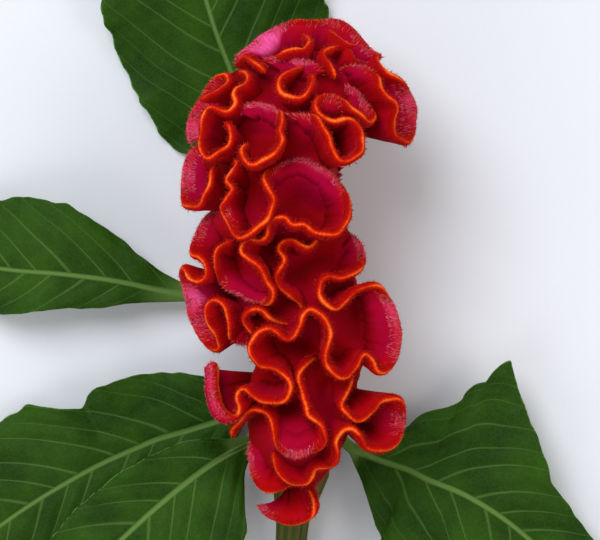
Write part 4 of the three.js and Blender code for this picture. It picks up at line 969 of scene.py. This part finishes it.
def leaf_skin(greens):
    """Fresh leaf: a thin waxy skin over soft green tissue, satin, with paler raised veins."""
    material, tree, shader = new_material(
        "Amaranth leaf", Roughness=0.62, IOR=1.42, Specular_IOR_Level=0.1,
        Subsurface_Weight=0.12, Subsurface_Scale=0.001, Subsurface_Radius=(0.4, 1.0, 0.2))
    flow, phase, side, stalk = surface_fields(tree)
    along, across, _ = add_node(tree, "ShaderNodeSeparateXYZ", [flow]).node.outputs

    # Side veins are 0.7 mm wide at the midrib and thin out towards the margin.
    nearest = add_node(tree, "ShaderNodeMath", [phase, 0.5], operation="PINGPONG")
    thinning = add_node(tree, "ShaderNodeMath", [side, 0.05, nearest], operation="MULTIPLY_ADD")
    side_vein = add_node(tree, "ShaderNodeMapRange", [thinning, 0.02, 0.09, 0.42, 0.0],
                         interpolation_type="SMOOTHSTEP")
    from_midrib = add_node(tree, "ShaderNodeMath", [across], operation="ABSOLUTE")
    tapered = add_node(tree, "ShaderNodeMath", [along, 0.005, from_midrib], operation="MULTIPLY_ADD")
    midrib = add_node(tree, "ShaderNodeMapRange", [tapered, 0.5, 1.15, 1.0, 0.0],
                      interpolation_type="SMOOTHSTEP")
    veins = add_node(tree, "ShaderNodeMath", [midrib, side_vein], operation="MAXIMUM")

    # The net of finest veins has meshes about 1 mm wide, and shows only faintly.
    net = add_node(tree, "ShaderNodeTexVoronoi", {"Vector": flow, "Scale": 1.0, "Randomness": 0.9},
                   out="Distance", feature="DISTANCE_TO_EDGE")
    net_line = add_node(tree, "ShaderNodeMapRange", [net, 0.0, 0.12, 0.08, 0.0])
    # Darker patches are about 14 mm across.
    patches = add_node(tree, "ShaderNodeTexNoise", {
        "Vector": flow, "Scale": 0.07, "Detail": 4.0, "Roughness": 0.6})
    shade = add_node(tree, "ShaderNodeMapRange", [patches, 0.35, 0.65, 0.0, 1.0])
    # The underside is marked by a stalk value 2 lower than on the upper side.
    under = add_node(tree, "ShaderNodeMapRange", [stalk, -0.6, -0.4, 0.65, 0.0])
    stalked = add_node(tree, "ShaderNodeMath", [stalk, 1.0], operation="PINGPONG")
    colour = greens.shade_colour
    for factor, layer in ((shade, greens.leaf_colour), (net_line, greens.vein_colour),
                          (veins, greens.vein_colour), (under, greens.under_colour),
                          (stalked, greens.vein_colour)):
        colour = add_node(tree, "ShaderNodeMix", {0: factor, 6: colour, 7: layer}, out=2, data_type="RGBA")
    fill_socket(tree, shader.inputs["Base Color"], colour)

    # A grain of 0.45 mm and the net roughen the blade, and the veins are sunk into it.
    grain = add_node(tree, "ShaderNodeTexNoise", {"Vector": flow, "Scale": 2.2, "Detail": 3.0})
    fine = add_node(tree, "ShaderNodeMath", [grain, 0.3, net], operation="MULTIPLY_ADD")
    height = add_node(tree, "ShaderNodeMath", [veins, -1.2, fine], operation="MULTIPLY_ADD")
    bump = add_node(tree, "ShaderNodeBump", {"Strength": 0.35, "Distance": 0.0004, "Height": height})
    fill_socket(tree, shader.inputs["Normal"], bump)
    return material


def stem_skin(greens):
    """Fresh stem: a smooth waxy skin, flushed red along its ribs, with moist pith at the cut."""
    material, tree, shader = new_material(
        "Fresh cut stem", Roughness=0.5, IOR=1.42, Specular_IOR_Level=0.2,
        Subsurface_Weight=0.15, Subsurface_Scale=0.002, Subsurface_Radius=(0.6, 1.0, 0.3))
    flow, rib, upward, cut = surface_fields(tree)
    # Streaks 0.8 mm wide run along the stem.
    drawn = add_node(tree, "ShaderNodeMapping", {"Vector": flow, "Scale": (1.2, 0.06, 1)})
    streaks = add_node(tree, "ShaderNodeTexNoise", {"Vector": drawn, "Scale": 1.0, "Detail": 3.0})
    light = add_node(tree, "ShaderNodeMapRange", [streaks, 0.35, 0.65, 0.0, 0.55])
    flush = add_node(tree, "ShaderNodeMath", [rib, upward], operation="MULTIPLY")
    pith = add_node(tree, "ShaderNodeValToRGB", [cut], stops=[
        (0.0, "#86a34c"), (0.12, "#7d9a48"), (0.2, "#b9c78a"), (0.45, "#dfe0b8"), (1.0, "#ece9cf")])
    on_cut = add_node(tree, "ShaderNodeMath", [cut, 0.02], operation="GREATER_THAN")
    colour = greens.stem_colour
    for factor, layer in ((light, "#3a5212"), (flush, greens.blush_colour), (on_cut, pith)):
        colour = add_node(tree, "ShaderNodeMix", {0: factor, 6: colour, 7: layer}, out=2, data_type="RGBA")
    fill_socket(tree, shader.inputs["Base Color"], colour)
    bump = add_node(tree, "ShaderNodeBump", {"Strength": 0.3, "Distance": 0.0003, "Height": streaks})
    fill_socket(tree, shader.inputs["Normal"], bump)
    return material


def floor_finish(stage):
    """Pale matt board: only a trace of its grain shows, so that it stays plain."""
    material, tree, shader = new_material("Pale matt board", Roughness=0.85, IOR=1.45)
    place = add_node(tree, "ShaderNodeTexCoord", out="Object")
    # The grain is about 1 mm across.
    grain = add_node(tree, "ShaderNodeTexNoise", {"Vector": place, "Scale": 900.0, "Detail": 2.0})
    faint = add_node(tree, "ShaderNodeMapRange", [grain, 0.3, 0.7, 0.0, 0.06])
    colour = add_node(tree, "ShaderNodeMix", {0: faint, 6: stage.floor_colour, 7: "#c6c8cb"},
                      out=2, data_type="RGBA")
    fill_socket(tree, shader.inputs["Base Color"], colour)
    return material


# Pieces


class COCKSCOMB_OT_folds(Operator):
    """Build the folded, trumpet-flared sheet of the crest"""

    bl_idname = "cockscomb.folds"
    bl_label = "Crest Folds"

    def execute(self, context):
        crest = context.scene.cockscomb_crest
        made = new_skin()
        for fold in crest_folds(crest.step / MM):
            add_grid(made, *fold.skin(crest.wall / MM, crest.rim / MM, crest.ruffle / MM))
        finish_piece(made, "crest_folds", petal_tissue(crest), ["crest"])
        return {"FINISHED"}


class COCKSCOMB_OT_fan(Operator):
    """Build the pleated fan of tissue that carries the folds"""

    bl_idname = "cockscomb.fan"
    bl_label = "Crest Fan"

    SLICES = 230
    SIDES = 140
    PLEAT_PITCH = 3.4
    PLEAT_DEPTH = 0.5
    END_ROUNDING = 4.0
    # The tissue climbs each fold to a row of its sheet, then falls away, and its painted shade deepens
    # with distance from the fold.
    LOWEST_ROW = 0.25
    HIGHEST_ROW = 0.62
    FALL = 1.2
    SHADE_DEEPENING = 0.03
    LEAST_SHADE = 0.25
    # The pink and magenta of a curled fold, partly painted highlight, run on over the tissue this far,
    # in mm.
    CURL_REACH = 10.0
    # Where a fold rolls over, the tissue runs level into its upper face, this far above its middle.
    ROLLED_LIFT = 1.8
    # Heights, shades and curls are averaged within this reach.
    EVENING = 1.3
    # Where the tissue climbs by this much, it takes the shade and curl of the fold in full.
    COVERING_HEIGHT = 3
    # Elsewhere it has this painted shade at the top, deep among the folds, and is paler by this much
    # at the underside.
    BARE_SHADE = 0.15
    PALER_BELOW = 0.35
    # The whole of it counts as this far from a growing edge, so that no bright line shows on it.
    FAR_FROM_EDGE = 9.0
    # Its fibres stand four times as far apart as those of the folds.
    FIBRE_STRETCH = 0.25
    # Its upper sides stand out by this share of its half width.
    SPREAD = 0.16
    # Under some folds it bulges, or is drawn in where how far is negative: y, side, how far, reach.
    BULGES = (
        (51.5, 1, 7.5, 3), (49, -1, 5.5, 4), (28, -1, 9, 4), (25, 1, -3.5, 3.5),
        (12, -1, 4, 4), (7.5, 1, 3, 4), (-14, 1, 3.5, 7), (-16, -1, 2.5, 4),
    )

    def execute(self, context):
        crest = context.scene.cockscomb_crest
        first, last = CORE_STATIONS[0][0], CORE_STATIONS[-1][0]
        y = np.linspace(first, last, self.SLICES + 1)[:, None]
        angle = np.linspace(-math.pi, math.pi, self.SIDES + 1)[None, :]
        to_end = np.minimum(y - first, last - y)
        close = np.sqrt(1 - (1 - np.clip(to_end / self.END_ROUNDING, 0, 1)) ** 2)
        half = core_at(y)[1]
        pleated = self.PLEAT_DEPTH / half * (1 - smoothstep(np.cos(angle), 0, 0.35))
        # The pleats run round the fan and sway a little on their way.
        pleat = 1 + pleated * np.sin(
            2 * math.pi * y / self.PLEAT_PITCH + 1.3 * np.sin(2 * angle) + 0.8 * np.sin(y / 5))
        places = core_surface(y, angle, close * pleat)
        spread = self.SPREAD * half
        for at, side, bulge, reach in self.BULGES:
            near = np.exp(-((y - at) / reach) ** 2)
            spread = spread + bulge * near * (side * np.sin(angle) > 0)
        places[:, :, 0] += close * spread * np.sin(angle) * smoothstep(np.cos(angle), -0.3, 0.4)
        height, shade, curl = self.climb(places, crest_folds(crest.step / MM))
        upper = smoothstep(np.cos(angle), -0.05, 0.35)
        raised = self.evened(np.clip(height - places[:, :, 2], 0, None) * upper * close, y, half)
        places[:, :, 2] += raised
        covered = np.clip(raised / self.COVERING_HEIGHT, 0, 1)
        shade = np.maximum(self.evened(shade, y, half), self.LEAST_SHADE)
        bare = self.BARE_SHADE + self.PALER_BELOW * smoothstep(-np.cos(angle), -0.2, 0.9)
        depth = bare + (shade - bare) * covered
        curl = self.evened(curl, y, half) * covered
        made = new_skin()
        add_grid(made, places, stacked(self.FIBRE_STRETCH * y, angle * half, 0),
                 stacked(self.FAR_FROM_EDGE, depth, curl))
        finish_piece(made, "crest_fan", petal_tissue(crest))
        return {"FINISHED"}

    def evened(self, values, y, half):
        """The values averaged with their neighbours along and across the fan."""
        values = blur(values, y[1, 0] - y[0, 0], self.EVENING)
        return blur(values.T, math.pi * half.mean() / self.SIDES * 2, self.EVENING).T

    def climb(self, places, folds):
        """Height, shade and curl that the feet of the folds give the fan at each of its places."""
        rows = folds[0].rows
        low = (rows > self.LOWEST_ROW) & (rows < self.HIGHEST_ROW)
        feet = np.concatenate([fold.sheet[::2, low].reshape(-1, 3) for fold in folds])
        rolled = np.concatenate([np.repeat(fold.rolled[::2], low.sum()) for fold in folds])
        feet[:, 2] += self.ROLLED_LIFT * rolled
        below = [fold.edge_distance(fold.sheet)[::2][:, low].ravel() for fold in folds]
        foot_shades = 1 - np.concatenate(below) / Fold.DEEPEST_SHADE
        foot_curls = np.concatenate([np.repeat(np.abs(fold.curl[::2]), low.sum()) for fold in folds])
        heights, shades, curls = (np.empty(places.shape[:2]) for _ in range(3))
        for number, row in enumerate(places):
            away = np.hypot(row[:, None, 0] - feet[:, 0], row[:, None, 1] - feet[:, 1])
            reached = feet[:, 2] - self.FALL * away
            best = np.argmax(reached, axis=1)[:, None]
            heights[number] = np.take_along_axis(reached, best, axis=1)[:, 0]
            far = np.take_along_axis(away, best, axis=1)[:, 0]
            shades[number] = foot_shades[best[:, 0]] - self.SHADE_DEEPENING * far
            curls[number] = foot_curls[best[:, 0]] * np.exp(-far / self.CURL_REACH)
        return heights, shades, curls


class COCKSCOMB_OT_florets(Operator):
    """Cover the fan with the pointed bracts of its tiny flowers"""

    bl_idname = "cockscomb.florets"
    bl_label = "Floret Bracts"

    # Above this height, as the cosine of the angle round the fan, the fan is bare velvet.
    HIGHEST = 0.2
    # The fan's ends stay bare this far. Rows stand this share of the gap apart, and each holds
    # this many times the bracts that the gap alone would give it.
    END_MARGIN = 2
    ROW_PITCH = 0.85
    CROWDING = 1.15
    # Shares of the fan's thickness at which a bract is rooted, and towards which it points.
    ROOTED = 0.97
    POINTING = 1.2
    # A bract leans up, out of the fan by this share, sideways by this one at the fan's sides, and
    # along the fan by this one per mm from its middle.
    OUTWARD = 0.55
    SIDEWARD = 0.5
    ENDWARD = 0.016
    # How unevenly the bracts stand, point and are coloured.
    TURN_SCATTER = 0.25
    ROW_SCATTER = 0.12
    DIRECTION_SCATTER = 0.16
    TONE_SCATTER = 0.12
    # Lengths as shares of the set one, the width in mm, and the depth as a share of the width.
    LENGTHS = (0.75, 1.15)
    WIDTH = 0.78
    FLATNESS = 0.4

    def execute(self, context):
        crest = context.scene.cockscomb_crest
        draw = np.random.default_rng(5)
        gap = crest.floret_gap / MM
        first, last = CORE_STATIONS[0][0] + self.END_MARGIN, CORE_STATIONS[-1][0] - self.END_MARGIN
        gathered = []
        for row, y in enumerate(np.arange(first, last, gap * self.ROW_PITCH)):
            half = float(core_at(y)[1])
            count = round(2 * math.pi * half / gap * self.CROWDING)
            turn = (np.arange(count) + 0.5 * (row % 2)) / count * 2 * math.pi
            turn += draw.normal(0, self.TURN_SCATTER / count * math.pi, count)
            turn = turn[np.cos(turn) < self.HIGHEST]
            count = len(turn)
            where = y + draw.normal(0, gap * self.ROW_SCATTER, count)
            base = core_surface(where, turn, self.ROOTED)
            out = unit(core_surface(where, turn, self.POINTING) - base)
            towards_rim = stacked(self.SIDEWARD * np.sin(turn), self.ENDWARD * where, 1)
            uneven = draw.normal(0, self.DIRECTION_SCATTER, base.shape)
            direction = unit(self.OUTWARD * out + towards_rim + uneven)
            tone = 0.5 - 0.5 * np.cos(turn) + draw.normal(0, self.TONE_SCATTER, count)
            gathered.append((base, direction, out, tone))
        bases, directions, sides, tones = (np.concatenate(part) for part in zip(*gathered))
        lengths = crest.floret / MM * draw.uniform(*self.LENGTHS, len(bases))
        widths = np.full(len(bases), self.WIDTH)
        mesh = scatter(pointed_tip(5), "floret_bracts", bases, directions, sides, lengths,
                       widths, self.FLATNESS * widths, np.clip(tones, 0, 1))
        material = bract_skin("Cockscomb floret bract", [
            (0.0, "#4a0008"), (0.35, "#8c0a1e"), (0.7, "#b2284a"), (1.0, "#c76a6e")], "#d85a78")
        place_piece(mesh, "floret_bracts", material)
        return {"FINISHED"}


class COCKSCOMB_OT_fringe(Operator):
    """Set the bract tips that fringe the growing edge and fur its curled parts"""

    bl_idname = "cockscomb.fringe"
    bl_label = "Rim Fringe"

    # The real hairs are finer than these widths, and wouldn't show.
    WIDTHS = (0.06, 0.11)
    # This share of the tips stands on top of the edge, short and orange, and roughens its line.
    CROWN_SHARE = 0.3
    # Angles above the level, in degrees, of the tips on top and of those on the shoulders.
    CROWN_RISE = (60, 88)
    SHOULDER_RISE = (-5, 52)
    # Fur begins at this curl, is densest where the curl is this much more, and grows above this row.
    FUR_START = 0.25
    FUR_FULL = 1.2
    FUR_ROW = 0.82
    FUR_PER_MM = 26.0
    # Lengths as shares of the set one, how much shorter the tips on top are, and how unevenly tips
    # and hairs point.
    TIP_LENGTHS = (0.45, 1.1)
    FUR_LENGTHS = (0.8, 1.9)
    CROWN_SHORTER = 0.45
    SCATTER = 0.25
    # Shares of the sheet's half thickness at which tips and hairs are rooted.
    TIP_ROOTED = 0.93
    FUR_ROOTED = 0.9
    # How far tips lean up the sheet, and how far hairs lean out of it and up it.
    TIP_LEAN = 0.12
    FUR_LEAN_OUT = 0.35
    FUR_LEAN_UP = 0.9
    # Tones are places in the row of colours. A tip has the first of these on top and the second on
    # a shoulder. It gets lighter with its rise in radians, and darker where the sheet rolls over.
    TIP_TONES = (0.25, 0.02)
    TONE_BY_RISE = 0.2
    TONE_LOST_ROLLED = 0.3
    TIP_TONE_SCATTER = 0.08
    TIP_TONE_LIMITS = (0, 0.65)
    # A hair has this tone, and gets lighter and pinker with the curl, partly as a painted highlight on
    # the faces that curl over.
    FUR_TONE = 0.66
    TONE_BY_CURL = 0.14
    FUR_TONE_SCATTER = 0.12
    FUR_TONE_LIMITS = (0.62, 1)

    def execute(self, context):
        crest = context.scene.cockscomb_crest
        draw = np.random.default_rng(11)
        gathered = []
        for fold in crest_folds(crest.step / MM):
            up, out = fold.frames()
            half = fold.half_thickness(fold.sheet, crest.wall / MM, crest.rim / MM)
            for grow in (self.fringe, self.fur):
                gathered.append(grow(fold, half, up, out, crest, draw))
        bases, directions, lengths, tones = (np.concatenate(part) for part in zip(*gathered))
        sides = draw.normal(0, 1, bases.shape)
        widths = draw.uniform(*self.WIDTHS, len(bases))
        mesh = scatter(pointed_tip(3), "rim_fringe", bases, directions, sides, lengths,
                       widths, widths, tones)
        material = bract_skin("Cockscomb bract tip", [
            (0.0, "#8a0603"), (0.25, "#b01004"), (0.45, "#d02c08"),
            (0.65, "#f0541a"), (0.75, "#e23c50"), (1.0, "#ff7098")], "#ff6c48")
        place_piece(mesh, "rim_fringe", material)
        return {"FINISHED"}

    def fringe(self, fold, half, up, out, crest, draw):
        """Tips along the top and both shoulders of the rim, pointing away from it."""
        count = round(fold.along[-1] / (crest.tip_gap / MM)) * 2
        index = draw.integers(1, len(fold.along) - 1, count)
        sign = np.where(np.arange(count) % 2 == 0, 1.0, -1.0)[:, None]
        crown = draw.random(count) < self.CROWN_SHARE
        rises = [draw.uniform(*limits, count) for limits in (self.CROWN_RISE, self.SHOULDER_RISE)]
        rise = np.radians(np.where(crown, *rises))[:, None]
        away = sign * out[index, -1] * np.cos(rise) + up[index, -1] * np.sin(rise)
        slide = unit(np.gradient(fold.rim, axis=0))[index] * draw.uniform(-0.5, 0.5, (count, 1))
        base = fold.rim[index] + slide * fold.spacing + away * half[index, -1, None] * self.TIP_ROOTED
        base[:, 2] -= fold.rolled[index] * fold.ROLL_DROP
        direction = away + self.TIP_LEAN * up[index, -1] + draw.normal(0, self.SCATTER, away.shape)
        shorter = 1 - self.CROWN_SHORTER * crown
        length = crest.tip / MM * draw.uniform(*self.TIP_LENGTHS, count) * shorter
        tone = np.where(crown, *self.TIP_TONES) + self.TONE_BY_RISE * rise[:, 0]
        tone -= self.TONE_LOST_ROLLED * fold.rolled[index]
        tone += draw.normal(0, self.TIP_TONE_SCATTER, count)
        return base, direction, length, np.clip(tone, *self.TIP_TONE_LIMITS)

    def fur(self, fold, half, up, out, crest, draw):
        """Short hairs on the upper face of the parts that curl over."""
        weights = np.clip(np.abs(fold.curl) - self.FUR_START, 0, self.FUR_FULL)
        count = round(weights.sum() * fold.spacing * self.FUR_PER_MM)
        if count == 0:
            return np.zeros((0, 3)), np.zeros((0, 3)), np.zeros(0), np.zeros(0)
        index = draw.choice(len(fold.along), count, p=weights / weights.sum())
        row = draw.integers(np.searchsorted(fold.rows, self.FUR_ROW), len(fold.rows), count)
        normal = out[index, row]
        normal = np.where(normal[:, 2:] < 0, -normal, normal)
        base = fold.sheet[index, row] + normal * half[index, row, None] * self.FUR_ROOTED
        # Hairs are moved by up to half a column along the sheet, and by up to 0.4 mm up or down it.
        forward = unit(np.gradient(fold.rim, axis=0))[index]
        base += draw.uniform(-0.5, 0.5, (count, 1)) * fold.spacing * forward
        base += draw.uniform(-0.4, 0.4, (count, 1)) * up[index, row]
        direction = self.FUR_LEAN_OUT * normal + self.FUR_LEAN_UP * up[index, row]
        direction += draw.normal(0, self.SCATTER, normal.shape)
        # Past a curl of about 0.7 the fur gets shorter, down to half its length.
        curled = np.abs(fold.curl[index])
        shorter = np.clip(1.25 - 0.35 * curled, 0.5, 1)
        length = crest.tip / MM * draw.uniform(*self.FUR_LENGTHS, count) * shorter
        tone = self.FUR_TONE + self.TONE_BY_CURL * curled
        tone += draw.normal(0, self.FUR_TONE_SCATTER, count)
        return base, direction, length, np.clip(tone, *self.FUR_TONE_LIMITS)


class COCKSCOMB_OT_stem(Operator):
    """Build the ribbed stem with its cut end"""

    bl_idname = "cockscomb.stem"
    bl_label = "Stem"

    SLICES = 260
    SIDES = 176
    RIB_DEPTH = 0.045
    # The cut is closed by rings of these shares of its size. Its edge is rounded over this length,
    # by this share of the stem's thickness.
    CUT_RINGS = (0.95, 0.8, 0.6, 0.4, 0.2, 0.0)
    ROUNDING = 0.3
    EDGE_LOSS = 0.04
    # The red flush of the ribs deepens by this much between these places along the stem.
    FLUSH = (-75, 10)
    FLUSH_GAIN = 0.75
    LEAST_FLUSH = 0.12

    def execute(self, context):
        greens = context.scene.cockscomb_greens
        stations = np.array(STEM_STATIONS, float)
        y = np.linspace(stations[0, 1], stations[-1, 1], self.SLICES + 1)
        x, z, half, height = (np.interp(y, stations[:, 1], stations[:, k]) for k in (0, 2, 3, 4))
        to_end = np.minimum(y - y[0], y[-1] - y)
        soft = 1 - self.EDGE_LOSS * (1 - np.clip(to_end / self.ROUNDING, 0, 1)) ** 2
        ends = np.array(self.CUT_RINGS)
        # Each ring of a cut end stands at the stem's first or last slice.
        order = np.clip(np.arange(-len(ends), len(y) + len(ends)), 0, len(y) - 1)
        scale = np.concatenate([ends[::-1], np.ones(len(y)), ends]) * soft[order]
        cut = np.concatenate([1 - ends[::-1], np.zeros(len(y)), 1 - ends])[:, None]
        x, y, z, half, height = (value[order][:, None] for value in (x, y, z, half, height))
        angle = np.linspace(0, 2 * math.pi, self.SIDES + 1)[None, :]
        # The ribs sway a little on their way up, in waves about 57 mm long.
        rib = np.cos(greens.ribs * angle + 0.25 * np.sin(y / 9))
        # The grooves are sunk in further than the ribs stand out.
        radius = scale[:, None] * (1 + self.RIB_DEPTH * (rib - 0.6))
        points_z = np.maximum(z + np.sin(angle) * height * radius, 0)
        places = stacked(x + np.cos(angle) * half * radius, y, points_z)
        upward = smoothstep(y, *self.FLUSH) * self.FLUSH_GAIN + self.LEAST_FLUSH
        on_rib = np.clip(0.5 + 0.6 * rib, 0, 1)
        made = new_skin()
        add_grid(made, places, stacked(angle * half, y, 0), stacked(on_rib, upward, cut))
        finish_piece(made, "stem_skin", stem_skin(greens), ["stem"])
        return {"FINISHED"}


class COCKSCOMB_OT_leaves(Operator):
    """Build the leaves with their stalks, veins and waved margins"""

    bl_idname = "cockscomb.leaves"
    bl_label = "Leaves"

    def execute(self, context):
        greens = context.scene.cockscomb_greens
        material = leaf_skin(greens)
        for number, (name, leaf) in enumerate(LEAVES.items()):
            made = new_skin()
            add_grid(made, *LeafForm(leaf, number + 1, greens).skin())
            finish_piece(made, name + "_skin", material, [name])
        return {"FINISHED"}


class COCKSCOMB_OT_stage(Operator):
    """Set the floor, the soft lights and the camera that looks straight down"""

    bl_idname = "cockscomb.stage"
    bl_label = "Stage"

    # Sizes and places here are in metres, apart from the camera's sensor, which is in mm.
    FLOOR_HALF = 1.6
    SENSOR = 36
    FAR_CLIP = 10
    SKY_COLOUR = "#e6ebf2"
    SKY_STRENGTH = 0.55
    LIT_POINT = (0, 0, 0.03)
    # Name, place, size, power in watts and colour of each soft light.
    LIGHTS = (
        ("sky_light", (-0.55, 0.75, 1.3), 1.1, 22, "#f2f6ff"),
        ("side_light", (1.1, -0.2, 0.9), 0.9, 7, "#fff4ea"),
        ("low_light", (-0.9, -0.9, 0.8), 0.9, 6, "#ffffff"),
    )

    def execute(self, context):
        scene = context.scene
        self.add_floor(scene)
        for light in self.LIGHTS:
            self.add_light(scene, *light)
        world = bpy.data.worlds.new("studio")
        world.use_nodes = True
        sky = world.node_tree.nodes["Background"]
        sky.inputs["Color"].default_value = shader_colour(self.SKY_COLOUR)
        sky.inputs["Strength"].default_value = self.SKY_STRENGTH
        scene.world = world
        scene.view_settings.view_transform = "Standard"
        self.add_camera(scene)
        return {"FINISHED"}

    def add_floor(self, scene):
        made = bmesh.new()
        bmesh.ops.create_grid(made, x_segments=2, y_segments=2, size=self.FLOOR_HALF)
        mesh = bpy.data.meshes.new("floor")
        made.to_mesh(mesh)
        made.free()
        mesh.materials.append(floor_finish(scene.cockscomb_stage))
        floor = bpy.data.objects.new("floor", mesh)
        scene.collection.objects.link(floor)

    def add_light(self, scene, name, place, size, power, colour):
        lamp = bpy.data.lights.new(name, "AREA")
        lamp.shape = "DISK"
        lamp.size = size
        lamp.energy = power
        lamp.color = linear(colour)
        light = bpy.data.objects.new(name, lamp)
        light.location = place
        aim = Vector(self.LIT_POINT) - light.location
        light.rotation_euler = aim.to_track_quat("-Z", "Y").to_euler()
        scene.collection.objects.link(light)

    def add_camera(self, scene):
        stage = scene.cockscomb_stage
        lens = bpy.data.cameras.new("camera")
        lens.sensor_width = self.SENSOR
        lens.lens = self.SENSOR * stage.distance / stage.view_width
        lens.clip_end = self.FAR_CLIP
        camera = bpy.data.objects.new("camera", lens)
        camera.location = (0, 0, stage.rim_height + stage.distance)
        scene.collection.objects.link(camera)
        scene.camera = camera


GROUPS = {"cockscomb_crest": CockscombCrest, "cockscomb_greens": CockscombGreens,
          "cockscomb_stage": CockscombStage}
PIECES = (COCKSCOMB_OT_folds, COCKSCOMB_OT_fan, COCKSCOMB_OT_florets, COCKSCOMB_OT_fringe,
          COCKSCOMB_OT_stem, COCKSCOMB_OT_leaves, COCKSCOMB_OT_stage)


class COCKSCOMB_PT_sidebar(Panel):
    """Settings and pieces of the bloom"""

    bl_idname = "COCKSCOMB_PT_sidebar"
    bl_label = "Cockscomb Bloom"
    bl_space_type = "VIEW_3D"
    bl_region_type = "UI"
    bl_category = "Cockscomb"

    def draw(self, context):
        for group in GROUPS:
            settings = getattr(context.scene, group)
            box = self.layout.box()
            for name in settings.__annotations__:
                box.prop(settings, name)
        for piece in PIECES:
            self.layout.operator(piece.bl_idname)


CLASSES = (*GROUPS.values(), *PIECES, COCKSCOMB_PT_sidebar)


def register():
    for kind in CLASSES:
        bpy.utils.register_class(kind)
    for name, group in GROUPS.items():
        setattr(bpy.types.Scene, name, PointerProperty(type=group))


def unregister():
    for name in GROUPS:
        delattr(bpy.types.Scene, name)
    for kind in reversed(CLASSES):
        bpy.utils.unregister_class(kind)


def main():
    register()
    bpy.ops.cockscomb.stage()
    bpy.ops.cockscomb.folds()
    bpy.ops.cockscomb.fan()
    bpy.ops.cockscomb.florets()
    bpy.ops.cockscomb.fringe()
    bpy.ops.cockscomb.stem()
    bpy.ops.cockscomb.leaves()


if __name__ == "__main__":
    main()
